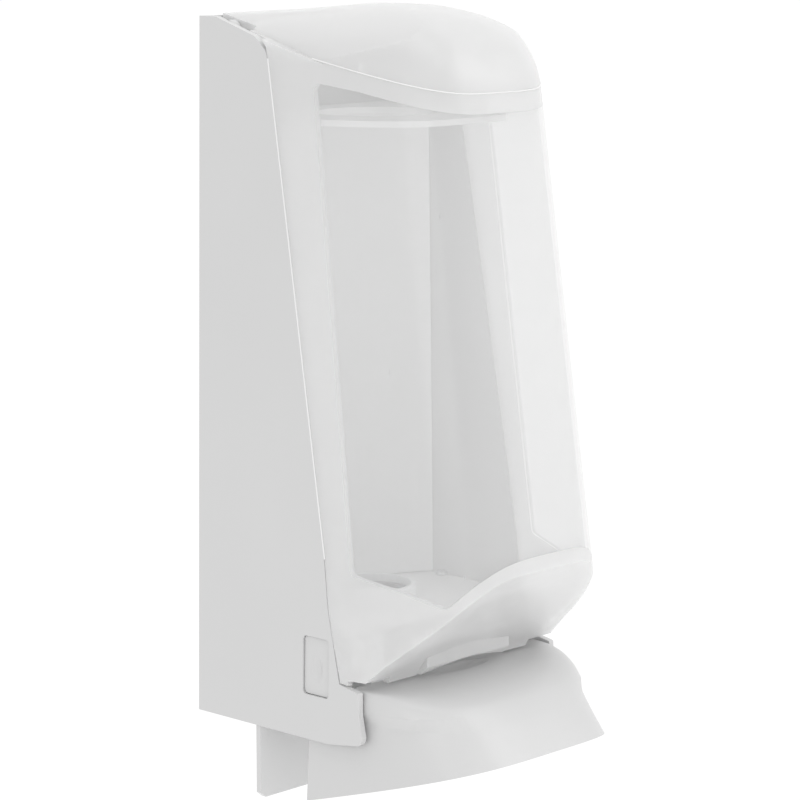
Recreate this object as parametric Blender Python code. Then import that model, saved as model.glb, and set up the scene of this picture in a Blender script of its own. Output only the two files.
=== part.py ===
"""Wall mounted soap dispenser: a tapered back housing, a cover hinged at its top with a clear
window, a push lever with a wide hood, and the pump that the lever works.

Metres, +Z up, +Y into the wall. The origin is the middle of the flat back face.
Most shapes are laid out in a side view: "out" is the distance out from the wall and "up" is the
height above the bottom edge of the housing."""

import math

import bmesh
import bpy
from mathutils import Matrix, Vector

MM = 0.001
GAP = 0.35 * MM

# Housing
HEIGHT = 302 * MM
HALF_LOW = 62.9 * MM
HALF_HIGH = 58.0 * MM
WALL = 3.0 * MM
BACK = 4.0 * MM
FLOOR_OUT = 34.0 * MM
ARM_OUT = 97.0 * MM
ARM_UP = 25.0 * MM

# Seam between the housing and the cover
SEAM_UP = 286.0 * MM
SEAM_OUT = 41.0 * MM
SEAM_LEAN = 0.1707

# Cover
COVER_SKIN = 2.8 * MM
PANE_SKIN = 2.2 * MM
BULGE_LOW = 72.0 * MM
BULGE_HIGH = 77.0 * MM
BULGE_POWER = 4.0
DOME_TOP = 307.3 * MM
DOME_HALF = 52.0 * MM
LEDGE_UP = 288.0 * MM
LEDGE_OUT = 55.0 * MM
LEDGE_LEAN = 0.31
CHIN_UP = 26.2 * MM
LIP_HALF = 26.0 * MM
CHIN_INWARD = Vector((-0.66, 0.75))
DISH_HALF = 46.0 * MM
DISH_DEEP = 5.0 * MM
HINGE_OUT = 13.5 * MM
HINGE_UP = 295.5 * MM
BARREL_R = 5.6 * MM
HINGE_HALF = 50.0 * MM
HINGE_PIN_R = 1.9 * MM

# Lever
HOOD_SKIN = 2.4 * MM
HOOD_POWER = 4.0
SQUARE = ((-1, -1), (1, -1), (1, 1), (-1, 1))
HOOD_REAR = 65.5 * MM
RIM_UP = -28.0 * MM
RIM_LEAN = 0.30
PIVOT_OUT = 72.0 * MM
PIVOT_UP = 35.0 * MM
PIVOT_PIN_R = 2.4 * MM
YOKE_HALF = 42.5 * MM
YOKE_THICK = 4.0 * MM

# Pump and refill seat
SHELF_UP = 46.0 * MM
SHELF_THICK = 3.0 * MM
SHELF_OUT = 79.0 * MM
NECK_OUT = 46.0 * MM
PUMP_UP = -8.0 * MM
PUMP_R = 9.0 * MM
BORE_R = 6.6 * MM
PUMP_REAR = 38.0 * MM
PUMP_FRONT = 66.0 * MM

# Release buttons
BUTTON_OUT = 72.0 * MM
BUTTON_UP = 32.0 * MM
BUTTON_WIDE = 15.0 * MM
BUTTON_TALL = 25.0 * MM

# Rear shield
SHIELD_OUT = 34.6 * MM
SHIELD_THICK = 2.5 * MM
SHIELD_LOW = -33.0 * MM
SHIELD_BOLT_UP = 7.0 * MM


def clear_scene():
    for item in list(bpy.data.objects):
        bpy.data.objects.remove(item, do_unlink=True)


def new_collection(name, hidden=False):
    group = bpy.data.collections.new(name)
    bpy.context.scene.collection.children.link(group)
    group.hide_render = hidden
    return group


def new_material(name, rgb, roughness, alpha=1.0):
    made = bpy.data.materials.new(name)
    made.use_nodes = True
    shader = made.node_tree.nodes["Principled BSDF"]
    shader.inputs["Base Color"].default_value = (*rgb, 1.0)
    shader.inputs["Roughness"].default_value = roughness
    shader.inputs["Alpha"].default_value = alpha
    return made


def at(x, out, up):
    """A point from its side position, its distance out from the wall and its height."""
    return Vector((x, -out, up - HEIGHT / 2))


def new_object(name, verts, faces):
    """A closed mesh with its faces turned outwards."""
    mesh = bpy.data.meshes.new(name)
    mesh.from_pydata(verts, [], faces)
    work = bmesh.new()
    work.from_mesh(mesh)
    bmesh.ops.remove_doubles(work, verts=work.verts, dist=1e-7)
    bmesh.ops.recalc_face_normals(work, faces=work.faces)
    bmesh.ops.connect_verts_nonplanar(work, angle_limit=0.0005, faces=work.faces)
    work.to_mesh(mesh)
    work.free()
    return bpy.data.objects.new(name, mesh)


def set_origin(item, point):
    """Puts the object's origin on its joint axis without moving its shape."""
    item.data.transform(Matrix.Translation(-point))
    item.location = point
    return item


def piece(item, material):
    """Puts the object among the parts, with a material of its own made from the given one."""
    own = material.copy()
    own.name = f"{item.name}_finish"
    item.data.materials.append(own)
    PARTS.objects.link(item)
    return item


def cutter(item):
    CUTTERS.objects.link(item)
    item.hide_render = True
    item.display_type = "WIRE"
    return item


def boolean(item, tool, operation="DIFFERENCE"):
    step = item.modifiers.new(tool.name, "BOOLEAN")
    step.operation = operation
    step.solver = "EXACT"
    step.object = tool
    return item


def rounded(corners, steps=5):
    """Outline from (a, b, radius) corners, each turned by an arc of its radius."""
    out = []
    count = len(corners)
    for i, (a, b, radius) in enumerate(corners):
        here = Vector((a, b))
        if radius <= 0:
            out.append(here)
            continue
        before = Vector(corners[i - 1][:2]) - here
        after = Vector(corners[(i + 1) % count][:2]) - here
        angle = before.angle(after)
        reach = radius / math.tan(angle / 2)
        start = here + before.normalized() * reach
        end = here + after.normalized() * reach
        middle = here + (before.normalized() + after.normalized()).normalized() * (
            radius / math.sin(angle / 2)
        )
        first = (start - middle).to_3d()
        last = (end - middle).to_3d()
        for k in range(steps + 1):
            turned = first.slerp(last, k / steps).normalized() * radius
            out.append(middle + turned.to_2d())
    return out


def grown(outline, distance):
    """The outline moved outwards by a distance, or inwards if it is negative."""
    count = len(outline)
    area = sum(
        outline[i - 1].x * outline[i].y - outline[i].x * outline[i - 1].y
        for i in range(count)
    )
    side = 1 if area > 0 else -1
    out = []
    for i, here in enumerate(outline):
        one = (here - outline[i - 1]).normalized()
        two = (outline[(i + 1) % count] - here).normalized()
        normal = Vector((one.y + two.y, -one.x - two.x)).normalized()
        across = Vector((one.y, -one.x))
        out.append(here + normal * side * distance / max(normal.dot(across), 0.3))
    return out


def half_width(up):
    return HALF_LOW + (HALF_HIGH - HALF_LOW) * up / HEIGHT


def seam_out(up):
    return SEAM_OUT + SEAM_LEAN * (SEAM_UP - up)


def loft(name, rings):
    """A solid through rings of equal length, closed by its first and last ring."""
    size = len(rings[0])
    verts = [point for ring in rings for point in ring]
    faces = [tuple(range(size)), tuple(range(len(verts) - size, len(verts)))]
    for i in range(len(rings) - 1):
        for k in range(size):
            low = i * size
            nxt = (k + 1) % size
            faces.append((low + k, low + nxt, low + size + nxt, low + size + k))
    return new_object(name, verts, faces)


def side_block(name, outline, left, right):
    """A side-view outline swept from one x to another; either may be a function of height."""

    def x_of(side, up):
        return side(up) if callable(side) else side

    rings = [[at(x_of(side, p.y), p.x, p.y) for p in outline] for side in (left, right)]
    return loft(name, rings)


def box(name, x, out, up):
    corners = [Vector(c) for c in ((out[0], up[0]), (out[1], up[0]), (out[1], up[1]), (out[0], up[1]))]
    return side_block(name, corners, x[0], x[1])


def flat_block(name, outline, low, high):
    """An outline seen from above, as (x, out), raised from one height to another."""
    rings = [[at(p.x, p.y, up) for p in outline] for up in (low, high)]
    return loft(name, rings)


def in_mm(pairs):
    """The same pairs in metres."""
    return [(first * MM, second * MM) for first, second in pairs]


def turned(name, profile, start, axis, steps=20):
    """A solid of revolution: (distance along the axis, radius) pairs about start and axis."""
    axis = Vector(axis).normalized()
    one = axis.orthogonal().normalized()
    two = axis.cross(one)
    rings = []
    for along, radius in profile:
        rings.append(
            [
                start
                + axis * along
                + one * radius * math.cos(2 * math.pi * k / steps)
                + two * radius * math.sin(2 * math.pi * k / steps)
                for k in range(steps)
            ]
        )
    return loft(name, rings)


def rod(name, start, axis, length, radius, steps=20, edge=0.0):
    profile = [(0, radius), (length, radius)]
    if edge:
        profile = [(0, radius - edge), (edge, radius), (length - edge, radius), (length, radius - edge)]
    return turned(name, profile, start, axis, steps)


def ring(name, profile, start, axis, steps=20):
    """A hollow solid of revolution from a closed loop of (distance along the axis, radius)."""
    axis = Vector(axis).normalized()
    one = axis.orthogonal().normalized()
    two = axis.cross(one)
    size = len(profile)
    verts = []
    for k in range(steps):
        spoke = one * math.cos(2 * math.pi * k / steps) + two * math.sin(2 * math.pi * k / steps)
        verts += [start + axis * along + spoke * radius for along, radius in profile]
    faces = []
    for k in range(steps):
        here = k * size
        there = (k + 1) % steps * size
        for i in range(size):
            nxt = (i + 1) % size
            faces.append((here + i, here + nxt, there + nxt, there + i))
    return new_object(name, verts, faces)


def coil(name, start, axis, length, radius, wire, turns):
    """A round-wire compression spring, radius measured to the outside of the coil."""
    axis = Vector(axis).normalized()
    one = axis.orthogonal().normalized()
    two = axis.cross(one)
    count = int(turns * 10)
    sides = 5
    rings = []
    for i in range(count + 1):
        turn = 2 * math.pi * i / 10
        outward = one * math.cos(turn) + two * math.sin(turn)
        along = wire + (length - 2 * wire) * i / count
        middle = start + axis * along + outward * (radius - wire)
        rings.append(
            [
                middle
                + outward * wire * math.cos(2 * math.pi * k / sides)
                + axis * wire * math.sin(2 * math.pi * k / sides)
                for k in range(sides)
            ]
        )
    return loft(name, rings)


def housing_outline():
    """Side view of the housing's walls: arm at the lower front, leaning seam, sloping top."""
    return rounded(
        [
            (0, 0, 0),
            (80 * MM, 0, 30 * MM),
            (100 * MM, 3 * MM, 3.5 * MM),
            (97.4 * MM, 15 * MM, 12 * MM),
            (ARM_OUT, ARM_UP, 0.8 * MM),
            (85.8 * MM, 27.0 * MM, 1 * MM),
            (78.8 * MM, 58.3 * MM, 20 * MM),
            (seam_out(76 * MM), 76 * MM, 40 * MM),
            (seam_out(288 * MM), 288 * MM, 6 * MM),
            (34 * MM, 294.4 * MM, 8 * MM),
            (9.8 * MM, HEIGHT, 4 * MM),
            (0, HEIGHT, 0),
        ]
    )


def seam_clearance():
    """Side view of all that the walls take up, so that the cover stays clear of it."""
    return [
        Vector(p) * MM
        for p in (
            (-10, -10), (101.5, -10), (101.5, 24.4), (97.4, 25.6), (86.4, 27.6), (81.9, 46.0),
            (79.25, 58.4), (78.2, 68.0), (77.0, 78.0), (41.3, 286.6), (40.4, 290.4), (37.0, 294.0),
            (37.0, 320), (-10, 320),
        )
    ]


def cover_ring(up, inset, back):
    """The cover in plan at one height: straight back, and a front that bulges past the seam."""
    half = half_width(up) - inset
    share = (up - 84 * MM) / (190 * MM)
    bulge = BULGE_LOW + (BULGE_HIGH - BULGE_LOW) * share
    front = seam_out(up) + bulge - dome_retreat(up + inset)
    root = min(seam_out(up), front - 20 * MM)
    ring = [at(half, back, up)]
    steps = 26
    for k in range(steps + 1):
        angle = math.pi * k / steps
        across = math.copysign(abs(math.cos(angle)) ** 0.62, math.cos(angle))
        out = root + (front - inset - root) * (1 - abs(across) ** BULGE_POWER)
        ring.append(at(half * across, out, up))
    ring.append(at(-half, back, up))
    return ring


def dome_retreat(up):
    """How far the front falls back near the top, where it rolls over into the dome."""
    radius = 34 * MM
    rise = up - (DOME_TOP - radius)
    if rise <= 0:
        return 0.0
    share = min(rise / radius, 1.0)
    return radius * 1.45 * (1 - math.sqrt(1 - share * share))


def cover_body(name, inset, back):
    levels = [15, 75, 150, 220, 268, 278, 286, 292, 297, 301, 304.2, 307.2]
    return loft(name, [cover_ring(level * MM, inset, back) for level in levels])


def ridge(out):
    """Height of the dome along its middle line."""
    points = [(0, 303.2), (12, 303.8), (26, 305.2), (42, 306.6), (60, DOME_TOP / MM), (76, 306.9),
              (90, 305.2), (100, 302.6), (108, 299.0), (115, 294.0), (121, 287.0), (128, 276.0), (150, 240)]
    for (a, low), (b, high) in zip(points, points[1:]):
        if out <= b * MM:
            return (low + (high - low) * (out / MM - a) / (b - a)) * MM
    return 240 * MM


def ledge(out):
    """Height of the flat strip beside the dome, which carries on the slope of the walls' tops."""
    return LEDGE_UP - LEDGE_LEAN * (out - LEDGE_OUT)


def dome(name, drop):
    """All that lies under the dome: a vault over the middle, with a flat ledge at each side."""
    sides = [-70, -52.6, -51.6, -49.0, -44, -36, -25, -13]
    sides = sides + [0] + [-x for x in reversed(sides)]
    outs = [-10, 8, 24, 40, 56, 70, 82, 92, 100, 107, 113, 118, 123, 130, 160]
    top = []
    for out in outs:
        for x in sides:
            share = min(abs(x * MM) / DOME_HALF, 1.0)
            low = min(ledge(out * MM), ridge(out * MM))
            up = low + (ridge(out * MM) - low) * (1 - share * share) ** 0.62
            top.append(at(x * MM, out * MM, up - drop))
    wide = len(sides)
    deep = len(outs)
    floor = [at(x * MM, out * MM, -40 * MM) for out in outs for x in sides]
    verts = top + floor
    under = len(top)
    faces = []
    for i in range(deep - 1):
        for k in range(wide - 1):
            a = i * wide + k
            quad = (a, a + 1, a + wide + 1, a + wide)
            faces.append(quad)
            faces.append(tuple(under + v for v in reversed(quad)))
    rim = [k for k in range(wide)]
    rim += [i * wide + wide - 1 for i in range(1, deep)]
    rim += [(deep - 1) * wide + k for k in range(wide - 2, -1, -1)]
    rim += [i * wide for i in range(deep - 2, 0, -1)]
    for a, b in zip(rim, rim[1:] + rim[:1]):
        faces.append((a, under + a, under + b, b))
    return new_object(name, verts, faces)


def chin_outline(lift, dish=0.0):
    """Side view of what is cut away under the chin, which leans back down to the lever."""
    slope = [(98.6, 29.6), (107, 37.2), (117, 45.4), (128, 55.0), (139, 65.6), (148.5, 76.4)]
    line = [Vector(p) * MM for p in ((96.9, -60), (96.9, 27))]
    for k, point in enumerate(slope):
        hollow = dish * math.sin(math.pi * k / (len(slope) - 1))
        line.append(Vector(point) * MM + CHIN_INWARD * hollow)
    line += [Vector(p) * MM for p in ((190, 123), (190, -60))]
    return grown(line, lift) if lift else line


def chin_tool(name, lift):
    """All that lies under the chin, whose slope is dished between the two side edges."""
    rings = []
    for x in [-80, -DISH_HALF / MM] + list(range(-40, 41, 8)) + [DISH_HALF / MM, 80]:
        share = min(abs(x * MM) / DISH_HALF, 1.0)
        dish = DISH_DEEP * (1 - share * share) ** 1.5
        rings.append([at(x * MM, p.x, p.y) for p in chin_outline(lift, dish)])
    return cutter(loft(name, rings))


def ball_cut(name, middle, radii, steps=24):
    """An ellipsoid, as a tool."""
    rings = []
    for i in range(1, steps // 2):
        tilt = math.pi * i / (steps // 2)
        rings.append(
            [
                middle
                + Vector(
                    (
                        radii[0] * math.cos(tilt),
                        radii[1] * math.sin(tilt) * math.cos(2 * math.pi * k / steps),
                        radii[2] * math.sin(tilt) * math.sin(2 * math.pi * k / steps),
                    )
                )
                for k in range(steps)
            ]
        )
    return cutter(loft(name, rings))


def pane_outline():
    """Side view of the window: between the side bands along the seam, from the chin to the cap."""
    return rounded(
        [
            (89.0 * MM, 73.6 * MM, 3 * MM),
            (114 * MM, 68.4 * MM, 20 * MM),
            (130.5 * MM, 62.9 * MM, 4 * MM),
            (150 * MM, 85.2 * MM, 0),
            (175 * MM, 114 * MM, 0),
            (175 * MM, 251 * MM, 0),
            (121.5 * MM, 264 * MM, 0),
            (84 * MM, 273.2 * MM, 20 * MM),
            (63.4 * MM, 276.4 * MM, 3 * MM),
            (78.4 * MM, 158 * MM, 0),
        ]
    )


def make_housing(material):
    body = piece(
        side_block("housing", housing_outline(), lambda up: -half_width(up), half_width), material
    )
    step_out = FLOOR_OUT / MM
    rear = BACK / MM
    corners = ((rear, 2.5), (step_out, 2.5), (step_out, -9), (130, -9), (130, 330), (rear, 330))
    hollow = [Vector(corner) * MM for corner in corners]

    def inner_side(up):
        return half_width(up) - WALL

    room = side_block("cut_hollow", hollow, lambda up: -inner_side(up), inner_side)
    boolean(body, cutter(room))
    swing = box("cut_swing_room", (-50.8 * MM, 50.8 * MM), (2.5 * MM, 8 * MM), (289 * MM, 310 * MM))
    boolean(body, cutter(swing))
    for side, word in ((-1, "left"), (1, "right")):
        axis = (side, 0, 0)
        start = at(side * (HINGE_HALF + GAP * 2), HINGE_OUT, HINGE_UP)
        ear = rod(f"add_ear_{word}", start, axis, 6 * MM, 5 * MM, 20)
        boolean(body, cutter(ear), "UNION")
        start = at(side * 45 * MM, HINGE_OUT, HINGE_UP)
        hole = rod(f"cut_ear_{word}", start, axis, 11.6 * MM, HINGE_PIN_R + 0.3 * MM, 16)
        boolean(body, cutter(hole))
        wide = BUTTON_WIDE / 2 + 0.4 * MM
        tall = BUTTON_TALL / 2 + 0.4 * MM
        window = rounded(
            [
                (BUTTON_OUT - wide, BUTTON_UP - tall, 2 * MM),
                (BUTTON_OUT + wide, BUTTON_UP - tall, 2 * MM),
                (BUTTON_OUT + wide, BUTTON_UP + tall, 2 * MM),
                (BUTTON_OUT - wide, BUTTON_UP + tall, 2 * MM),
            ],
            3,
        )
        boolean(body, cutter(side_block(f"cut_button_{word}", window, side * 50 * MM, side * 70 * MM)))
        for level, up in (("low", 22 * MM), ("high", 276 * MM)):
            start = at(side * 38 * MM, -2 * MM, up)
            screw_hole = rod(f"cut_screw_{level}_{word}", start, (0, -1, 0), 9 * MM, 2.6 * MM, 20)
            boolean(body, cutter(screw_hole))
    for side, word in ((-1, "left"), (1, "right")):
        pad = box(
            f"add_shelf_rest_{word}",
            sorted((side * 53 * MM, side * 61 * MM)),
            (BACK - MM, 44 * MM),
            (SHELF_UP - SHELF_THICK - 6 * MM, SHELF_UP - SHELF_THICK - GAP),
        )
        boolean(body, cutter(pad), "UNION")
        start = at(side * 56.3 * MM, 35 * MM, SHELF_UP)
        pilot = rod(f"cut_pilot_{word}", start, (0, 0, -1), 8 * MM, 1.6 * MM, 16)
        boolean(body, cutter(pilot))
        start = at(side * 45 * MM, SHIELD_OUT - 9 * MM, SHIELD_BOLT_UP)
        bolt = rod(f"cut_shield_{word}", start, (0, -1, 0), 12 * MM, 1.6 * MM, 16)
        lug = box(
            f"add_lug_{word}",
            sorted((side * 40 * MM, side * 50 * MM)),
            (24 * MM, FLOOR_OUT),
            (1 * MM, 12 * MM),
        )
        boolean(body, cutter(lug), "UNION")
        boolean(body, cutter(bolt))
    return body


def make_cover_frame(material):
    body = cover_body("cover_frame", 0, 6.5 * MM)
    boolean(body, cutter(dome("keep_dome", 0)), "INTERSECT")
    boolean(body, chin_tool("cut_chin", 0))
    lip = rounded(
        [
            (93 * MM, CHIN_UP, 0),
            (98.5 * MM, CHIN_UP, 1.5 * MM),
            (102.5 * MM, 30 * MM, 2 * MM),
            (102.5 * MM, 38 * MM, 1.5 * MM),
            (98 * MM, 41 * MM, 1.5 * MM),
            (93 * MM, 41 * MM, 0),
        ]
    )
    room = cutter(cover_body("cut_room", COVER_SKIN, -12 * MM))
    boolean(room, cutter(dome("keep_room", COVER_SKIN)), "INTERSECT")
    boolean(room, chin_tool("cut_room_chin", COVER_SKIN))
    boolean(body, room)
    boolean(body, cutter(side_block("add_lip", lip, -LIP_HALF, LIP_HALF)), "UNION")
    barrel = rod(
        "add_barrel", at(-HINGE_HALF, HINGE_OUT, HINGE_UP), (1, 0, 0), 2 * HINGE_HALF, BARREL_R, 24
    )
    boolean(body, cutter(barrel), "UNION")
    boolean(body, cutter(box("cut_below", (-80 * MM, 80 * MM), (60 * MM, 140 * MM), (0, CHIN_UP))))
    for side, word in ((-1, "left"), (1, "right")):
        outer = side * 80 * MM
        clear = side_block(
            f"cut_clear_{word}",
            seam_clearance(),
            lambda up, side=side: side * (half_width(up) - WALL - GAP),
            outer,
        )
        boolean(body, cutter(clear))
        notch = sorted((side * (HINGE_HALF + GAP), outer))
        boolean(body, cutter(box(f"cut_notch_{word}", notch, (0, 27 * MM), (280 * MM, 320 * MM))))
        start = at(side * 60 * MM, HINGE_OUT, HINGE_UP)
        bore = rod(f"cut_bore_{word}", start, (-side, 0, 0), 24 * MM, HINGE_PIN_R + 0.3 * MM, 16)
        boolean(body, cutter(bore))
        slot = sorted((side * 44 * MM, side * 70 * MM))
        boolean(body, cutter(box(f"cut_slot_{word}", slot, (90 * MM, 110 * MM), (20 * MM, 29 * MM))))
    boolean(body, cutter(side_block("cut_opening", pane_outline(), -80 * MM, 80 * MM)))
    arch = rod("cut_lens", at(0, 120 * MM, CHIN_UP - 92.5 * MM), (0, 1, 0), 40 * MM, 96.5 * MM, 72)
    boolean(body, cutter(arch))
    return set_origin(piece(body, material), at(0, HINGE_OUT, HINGE_UP))


def make_window(material):
    pane = cover_body("cover_window", 0, 20 * MM)
    boolean(pane, cutter(cover_body("cut_pane_room", PANE_SKIN, -12 * MM)))
    opening = side_block("keep_pane", grown(pane_outline(), -0.3 * MM), -80 * MM, 80 * MM)
    boolean(pane, cutter(opening), "INTERSECT")
    return set_origin(piece(pane, material), at(0, HINGE_OUT, HINGE_UP))


def make_hinge_pins(material):
    for side, word in ((-1, "left"), (1, "right")):
        start = at(side * 37.5 * MM, HINGE_OUT, HINGE_UP)
        pin = rod(f"cover_hinge_pin_{word}", start, (side, 0, 0), 18.6 * MM, HINGE_PIN_R, 16, 0.4 * MM)
        piece(pin, material)


def hood_profile(share):
    """Front of the hood from its top edge (0) over a rounded brow to its rim (1)."""
    points = [(96.4, 25.0), (106, 25.0), (117, 24.6), (124.5, 23.0), (130.5, 20.0), (135, 16.0),
              (139.5, 11.2), (145, 4.8), (150.2, -1.2), (155.0, -7.0)]
    place = share * (len(points) - 1)
    i = min(int(place), len(points) - 2)
    return [(points[i][k] + (points[i + 1][k] - points[i][k]) * (place - i)) * MM for k in (0, 1)]


def rim_height(out):
    return RIM_UP + RIM_LEAN * (out - HOOD_REAR)


def hood_ring(out, up, half, root, inset):
    """The hood in plan at one level, from its rear left corner round its front to the right."""
    ring = []
    steps = 24
    for k in range(steps + 1):
        angle = math.pi * k / steps
        across = -math.copysign(abs(math.cos(angle)) ** 0.5, math.cos(angle))
        reach = root + (out - inset - root) * (1 - abs(across) ** HOOD_POWER) ** (1 / 2.6)
        ring.append(at((half - inset) * across, reach, up))
    return [at(inset - half, root - 2 * MM, up)] + ring + [at(half - inset, root - 2 * MM, up)]


def make_hood(material):
    """The lever's hood: an outer and an inner skin of rings, open behind and below."""

    def skin(name, inset):
        rings = []
        for share, half, root in (
            (0, 55.0, 92), (1, 57.0, 90), (2, 58.3, 88), (3, 58.8, 87), (4, 59.2, 86), (5, 59.2, 85),
            (6, 59.2, 63), (7, 59.2, 62), (8, 59.6, 62), (9, 60.2, 62), (10.5, 60.8, 62), (14, 62.4, 62),
        ):
            out, up = hood_profile(min(share / 9, 1))
            if share > 9:
                out += (share - 9) * 7 * MM
                up -= (share - 9) * 7 * MM
            back = root * MM - (6 * MM if inset else 0)
            rings.append(hood_ring(out, up - inset, half * MM, min(back, out - 4 * MM), inset))
        return loft(name, rings)

    hood = skin("push_lever", 0)
    boolean(hood, cutter(skin("cut_hood_room", HOOD_SKIN)))
    below = [
        Vector((-20 * MM, rim_height(-20 * MM))),
        Vector((220 * MM, rim_height(220 * MM))),
        Vector((220 * MM, -90 * MM)),
        Vector((-20 * MM, -90 * MM)),
    ]
    boolean(hood, cutter(side_block("cut_hood_rim", below, -90 * MM, 90 * MM)))
    behind = box("cut_hood_rear", (-90 * MM, 90 * MM), (0, HOOD_REAR), (-90 * MM, 60 * MM))
    boolean(hood, cutter(behind))
    upper = box("cut_hood_upper", (-90 * MM, 90 * MM), (0, 89.4 * MM), (14 * MM, 60 * MM))
    boolean(hood, cutter(upper))
    dip = ball_cut("cut_hood_dip", at(0, 97 * MM, 31 * MM), (30 * MM, 9 * MM, 7.6 * MM), 20)
    boolean(hood, dip)
    return set_origin(piece(hood, material), at(0, PIVOT_OUT, PIVOT_UP))


def make_yoke(material):
    """Two arms on the pivot pins, joined by a bar behind the hood that pushes the plunger."""
    arm = rounded(
        [
            (66 * MM, 41 * MM, 5.9 * MM),
            (78 * MM, 41 * MM, 5.9 * MM),
            (79 * MM, 30 * MM, 3 * MM),
            (87.4 * MM, 22.0 * MM, 2 * MM),
            (103 * MM, 21.4 * MM, 1 * MM),
            (103 * MM, 13 * MM, 2 * MM),
            (97.5 * MM, 0, 3 * MM),
            (97.5 * MM, -16 * MM, 1 * MM),
            (93.5 * MM, -16 * MM, 1 * MM),
            (93.5 * MM, -1 * MM, 4 * MM),
            (66 * MM, 28 * MM, 5 * MM),
        ],
        4,
    )
    yoke = side_block("lever_yoke", arm, -YOKE_HALF, YOKE_HALF)
    inner = YOKE_HALF - YOKE_THICK
    upper = box("cut_yoke_upper", (-inner, inner), (60 * MM, 120 * MM), (1 * MM, 60 * MM))
    boolean(yoke, cutter(upper))
    for side, word in ((-1, "left"), (1, "right")):
        start = at(side * 30 * MM, PIVOT_OUT, PIVOT_UP)
        eye = rod(f"cut_eye_{word}", start, (side, 0, 0), 16 * MM, PIVOT_PIN_R + 0.3 * MM, 16)
        boolean(yoke, cutter(eye))
    seat = rod("cut_pad_seat", at(0, 99 * MM, PUMP_UP), (0, 1, 0), 12 * MM, 3.3 * MM, 20)
    boolean(yoke, cutter(seat))
    return set_origin(piece(yoke, material), at(0, PIVOT_OUT, PIVOT_UP))


def make_pad(material):
    """Rubber nose with a stem through the yoke's bar."""
    nose = [(0, 3.0), (4.4, 3.0), (4.4, 6.0), (6.0, 6.0), (7.6, 5.0), (8.6, 3.4), (9.2, 1.2)]
    pad = turned("lever_pad", in_mm(nose), at(0, 97.6 * MM, PUMP_UP), (0, 1, 0), 18)
    return set_origin(piece(pad, material), at(0, PIVOT_OUT, PIVOT_UP))


def make_pivot_pins(material):
    for side, word in ((-1, "left"), (1, "right")):
        start = at(side * 37 * MM, PIVOT_OUT, PIVOT_UP)
        pin = rod(f"lever_pin_{word}", start, (side, 0, 0), 9.4 * MM, PIVOT_PIN_R, 16, 0.4 * MM)
        piece(pin, material)


def make_shelf(material):
    """Plate that carries the refill, with two lugs below it for the lever's pivot pins."""

    def plate_edge(up):
        return half_width(up) - WALL - 0.5 * MM

    low = SHELF_UP - SHELF_THICK
    edge = plate_edge(SHELF_UP)
    plate = rounded(
        [
            (-edge, BACK + GAP, 0),
            (edge, BACK + GAP, 0),
            (edge, 55 * MM, 3 * MM),
            (53.6 * MM, 62 * MM, 2 * MM),
            (50 * MM, SHELF_OUT, 6 * MM),
            (-50 * MM, SHELF_OUT, 6 * MM),
            (-53.6 * MM, 62 * MM, 2 * MM),
            (-edge, 55 * MM, 3 * MM),
        ]
    )
    shelf = piece(flat_block("shelf", plate, low, SHELF_UP), material)
    hole = rod("cut_neck", at(0, NECK_OUT, 30 * MM), (0, 0, 1), 30 * MM, 14.6 * MM, 40)
    for side, word in ((-1, "left"), (1, "right")):
        lug = rounded(
            [
                (65.5 * MM, low + MM, 0),
                (78.5 * MM, low + MM, 0),
                (78.5 * MM, 26 * MM, 3 * MM),
                (65.5 * MM, 26 * MM, 3 * MM),
            ]
        )
        block = side_block(f"add_pin_lug_{word}", lug, side * 43.2 * MM, side * 46.8 * MM)
        boolean(shelf, cutter(block), "UNION")
        start = at(side * 36 * MM, PIVOT_OUT, PIVOT_UP)
        eye = rod(f"cut_lug_{word}", start, (side, 0, 0), 16 * MM, PIVOT_PIN_R + 0.3 * MM, 16)
        boolean(shelf, cutter(eye))
        start = at(side * 56.3 * MM, 35 * MM, 30 * MM)
        screw_hole = rod(f"cut_shelf_screw_{word}", start, (0, 0, 1), 30 * MM, 1.9 * MM, 16)
        boolean(shelf, cutter(screw_hole))
    boolean(shelf, cutter(hole))
    return shelf


def screw(name, seat, axis, length, material, shank=1.3):
    """Pan head screw; seat is under the head and axis points down the shank."""
    profile = [
        (-2.0, 1.6), (-1.3, 2.6), (0, 2.8), (0, shank), (length - 1.4, shank), (length, 0.3),
    ]
    body = turned(name, in_mm(profile), seat, axis, 14)
    axis = Vector(axis).normalized()
    across = axis.orthogonal().normalized() * 3.2 * MM
    third = axis.cross(axis.orthogonal()).normalized() * 0.35 * MM
    slot = [
        [seat - axis * depth * MM + across * a + third * b for a, b in SQUARE]
        for depth in (3.0, 1.2)
    ]
    boolean(body, cutter(loft(f"cut_{name}", slot)))
    return piece(body, material)


def make_screws(material):
    for side, word in ((-1, "left"), (1, "right")):
        seat = at(side * 56.3 * MM, 35 * MM, SHELF_UP + GAP)
        screw(f"shelf_screw_{word}", seat, (0, 0, -1), 8, material)
        seat = at(side * 45 * MM, SHIELD_OUT + SHIELD_THICK + GAP, SHIELD_BOLT_UP)
        screw(f"shield_screw_{word}", seat, (0, 1, 0), 9, material)
        seat = at(side * 13.5 * MM, 40.2 * MM + GAP, PUMP_UP)
        screw(f"pump_screw_{word}", seat, (0, 1, 0), 5, material, 1.2)


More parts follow.
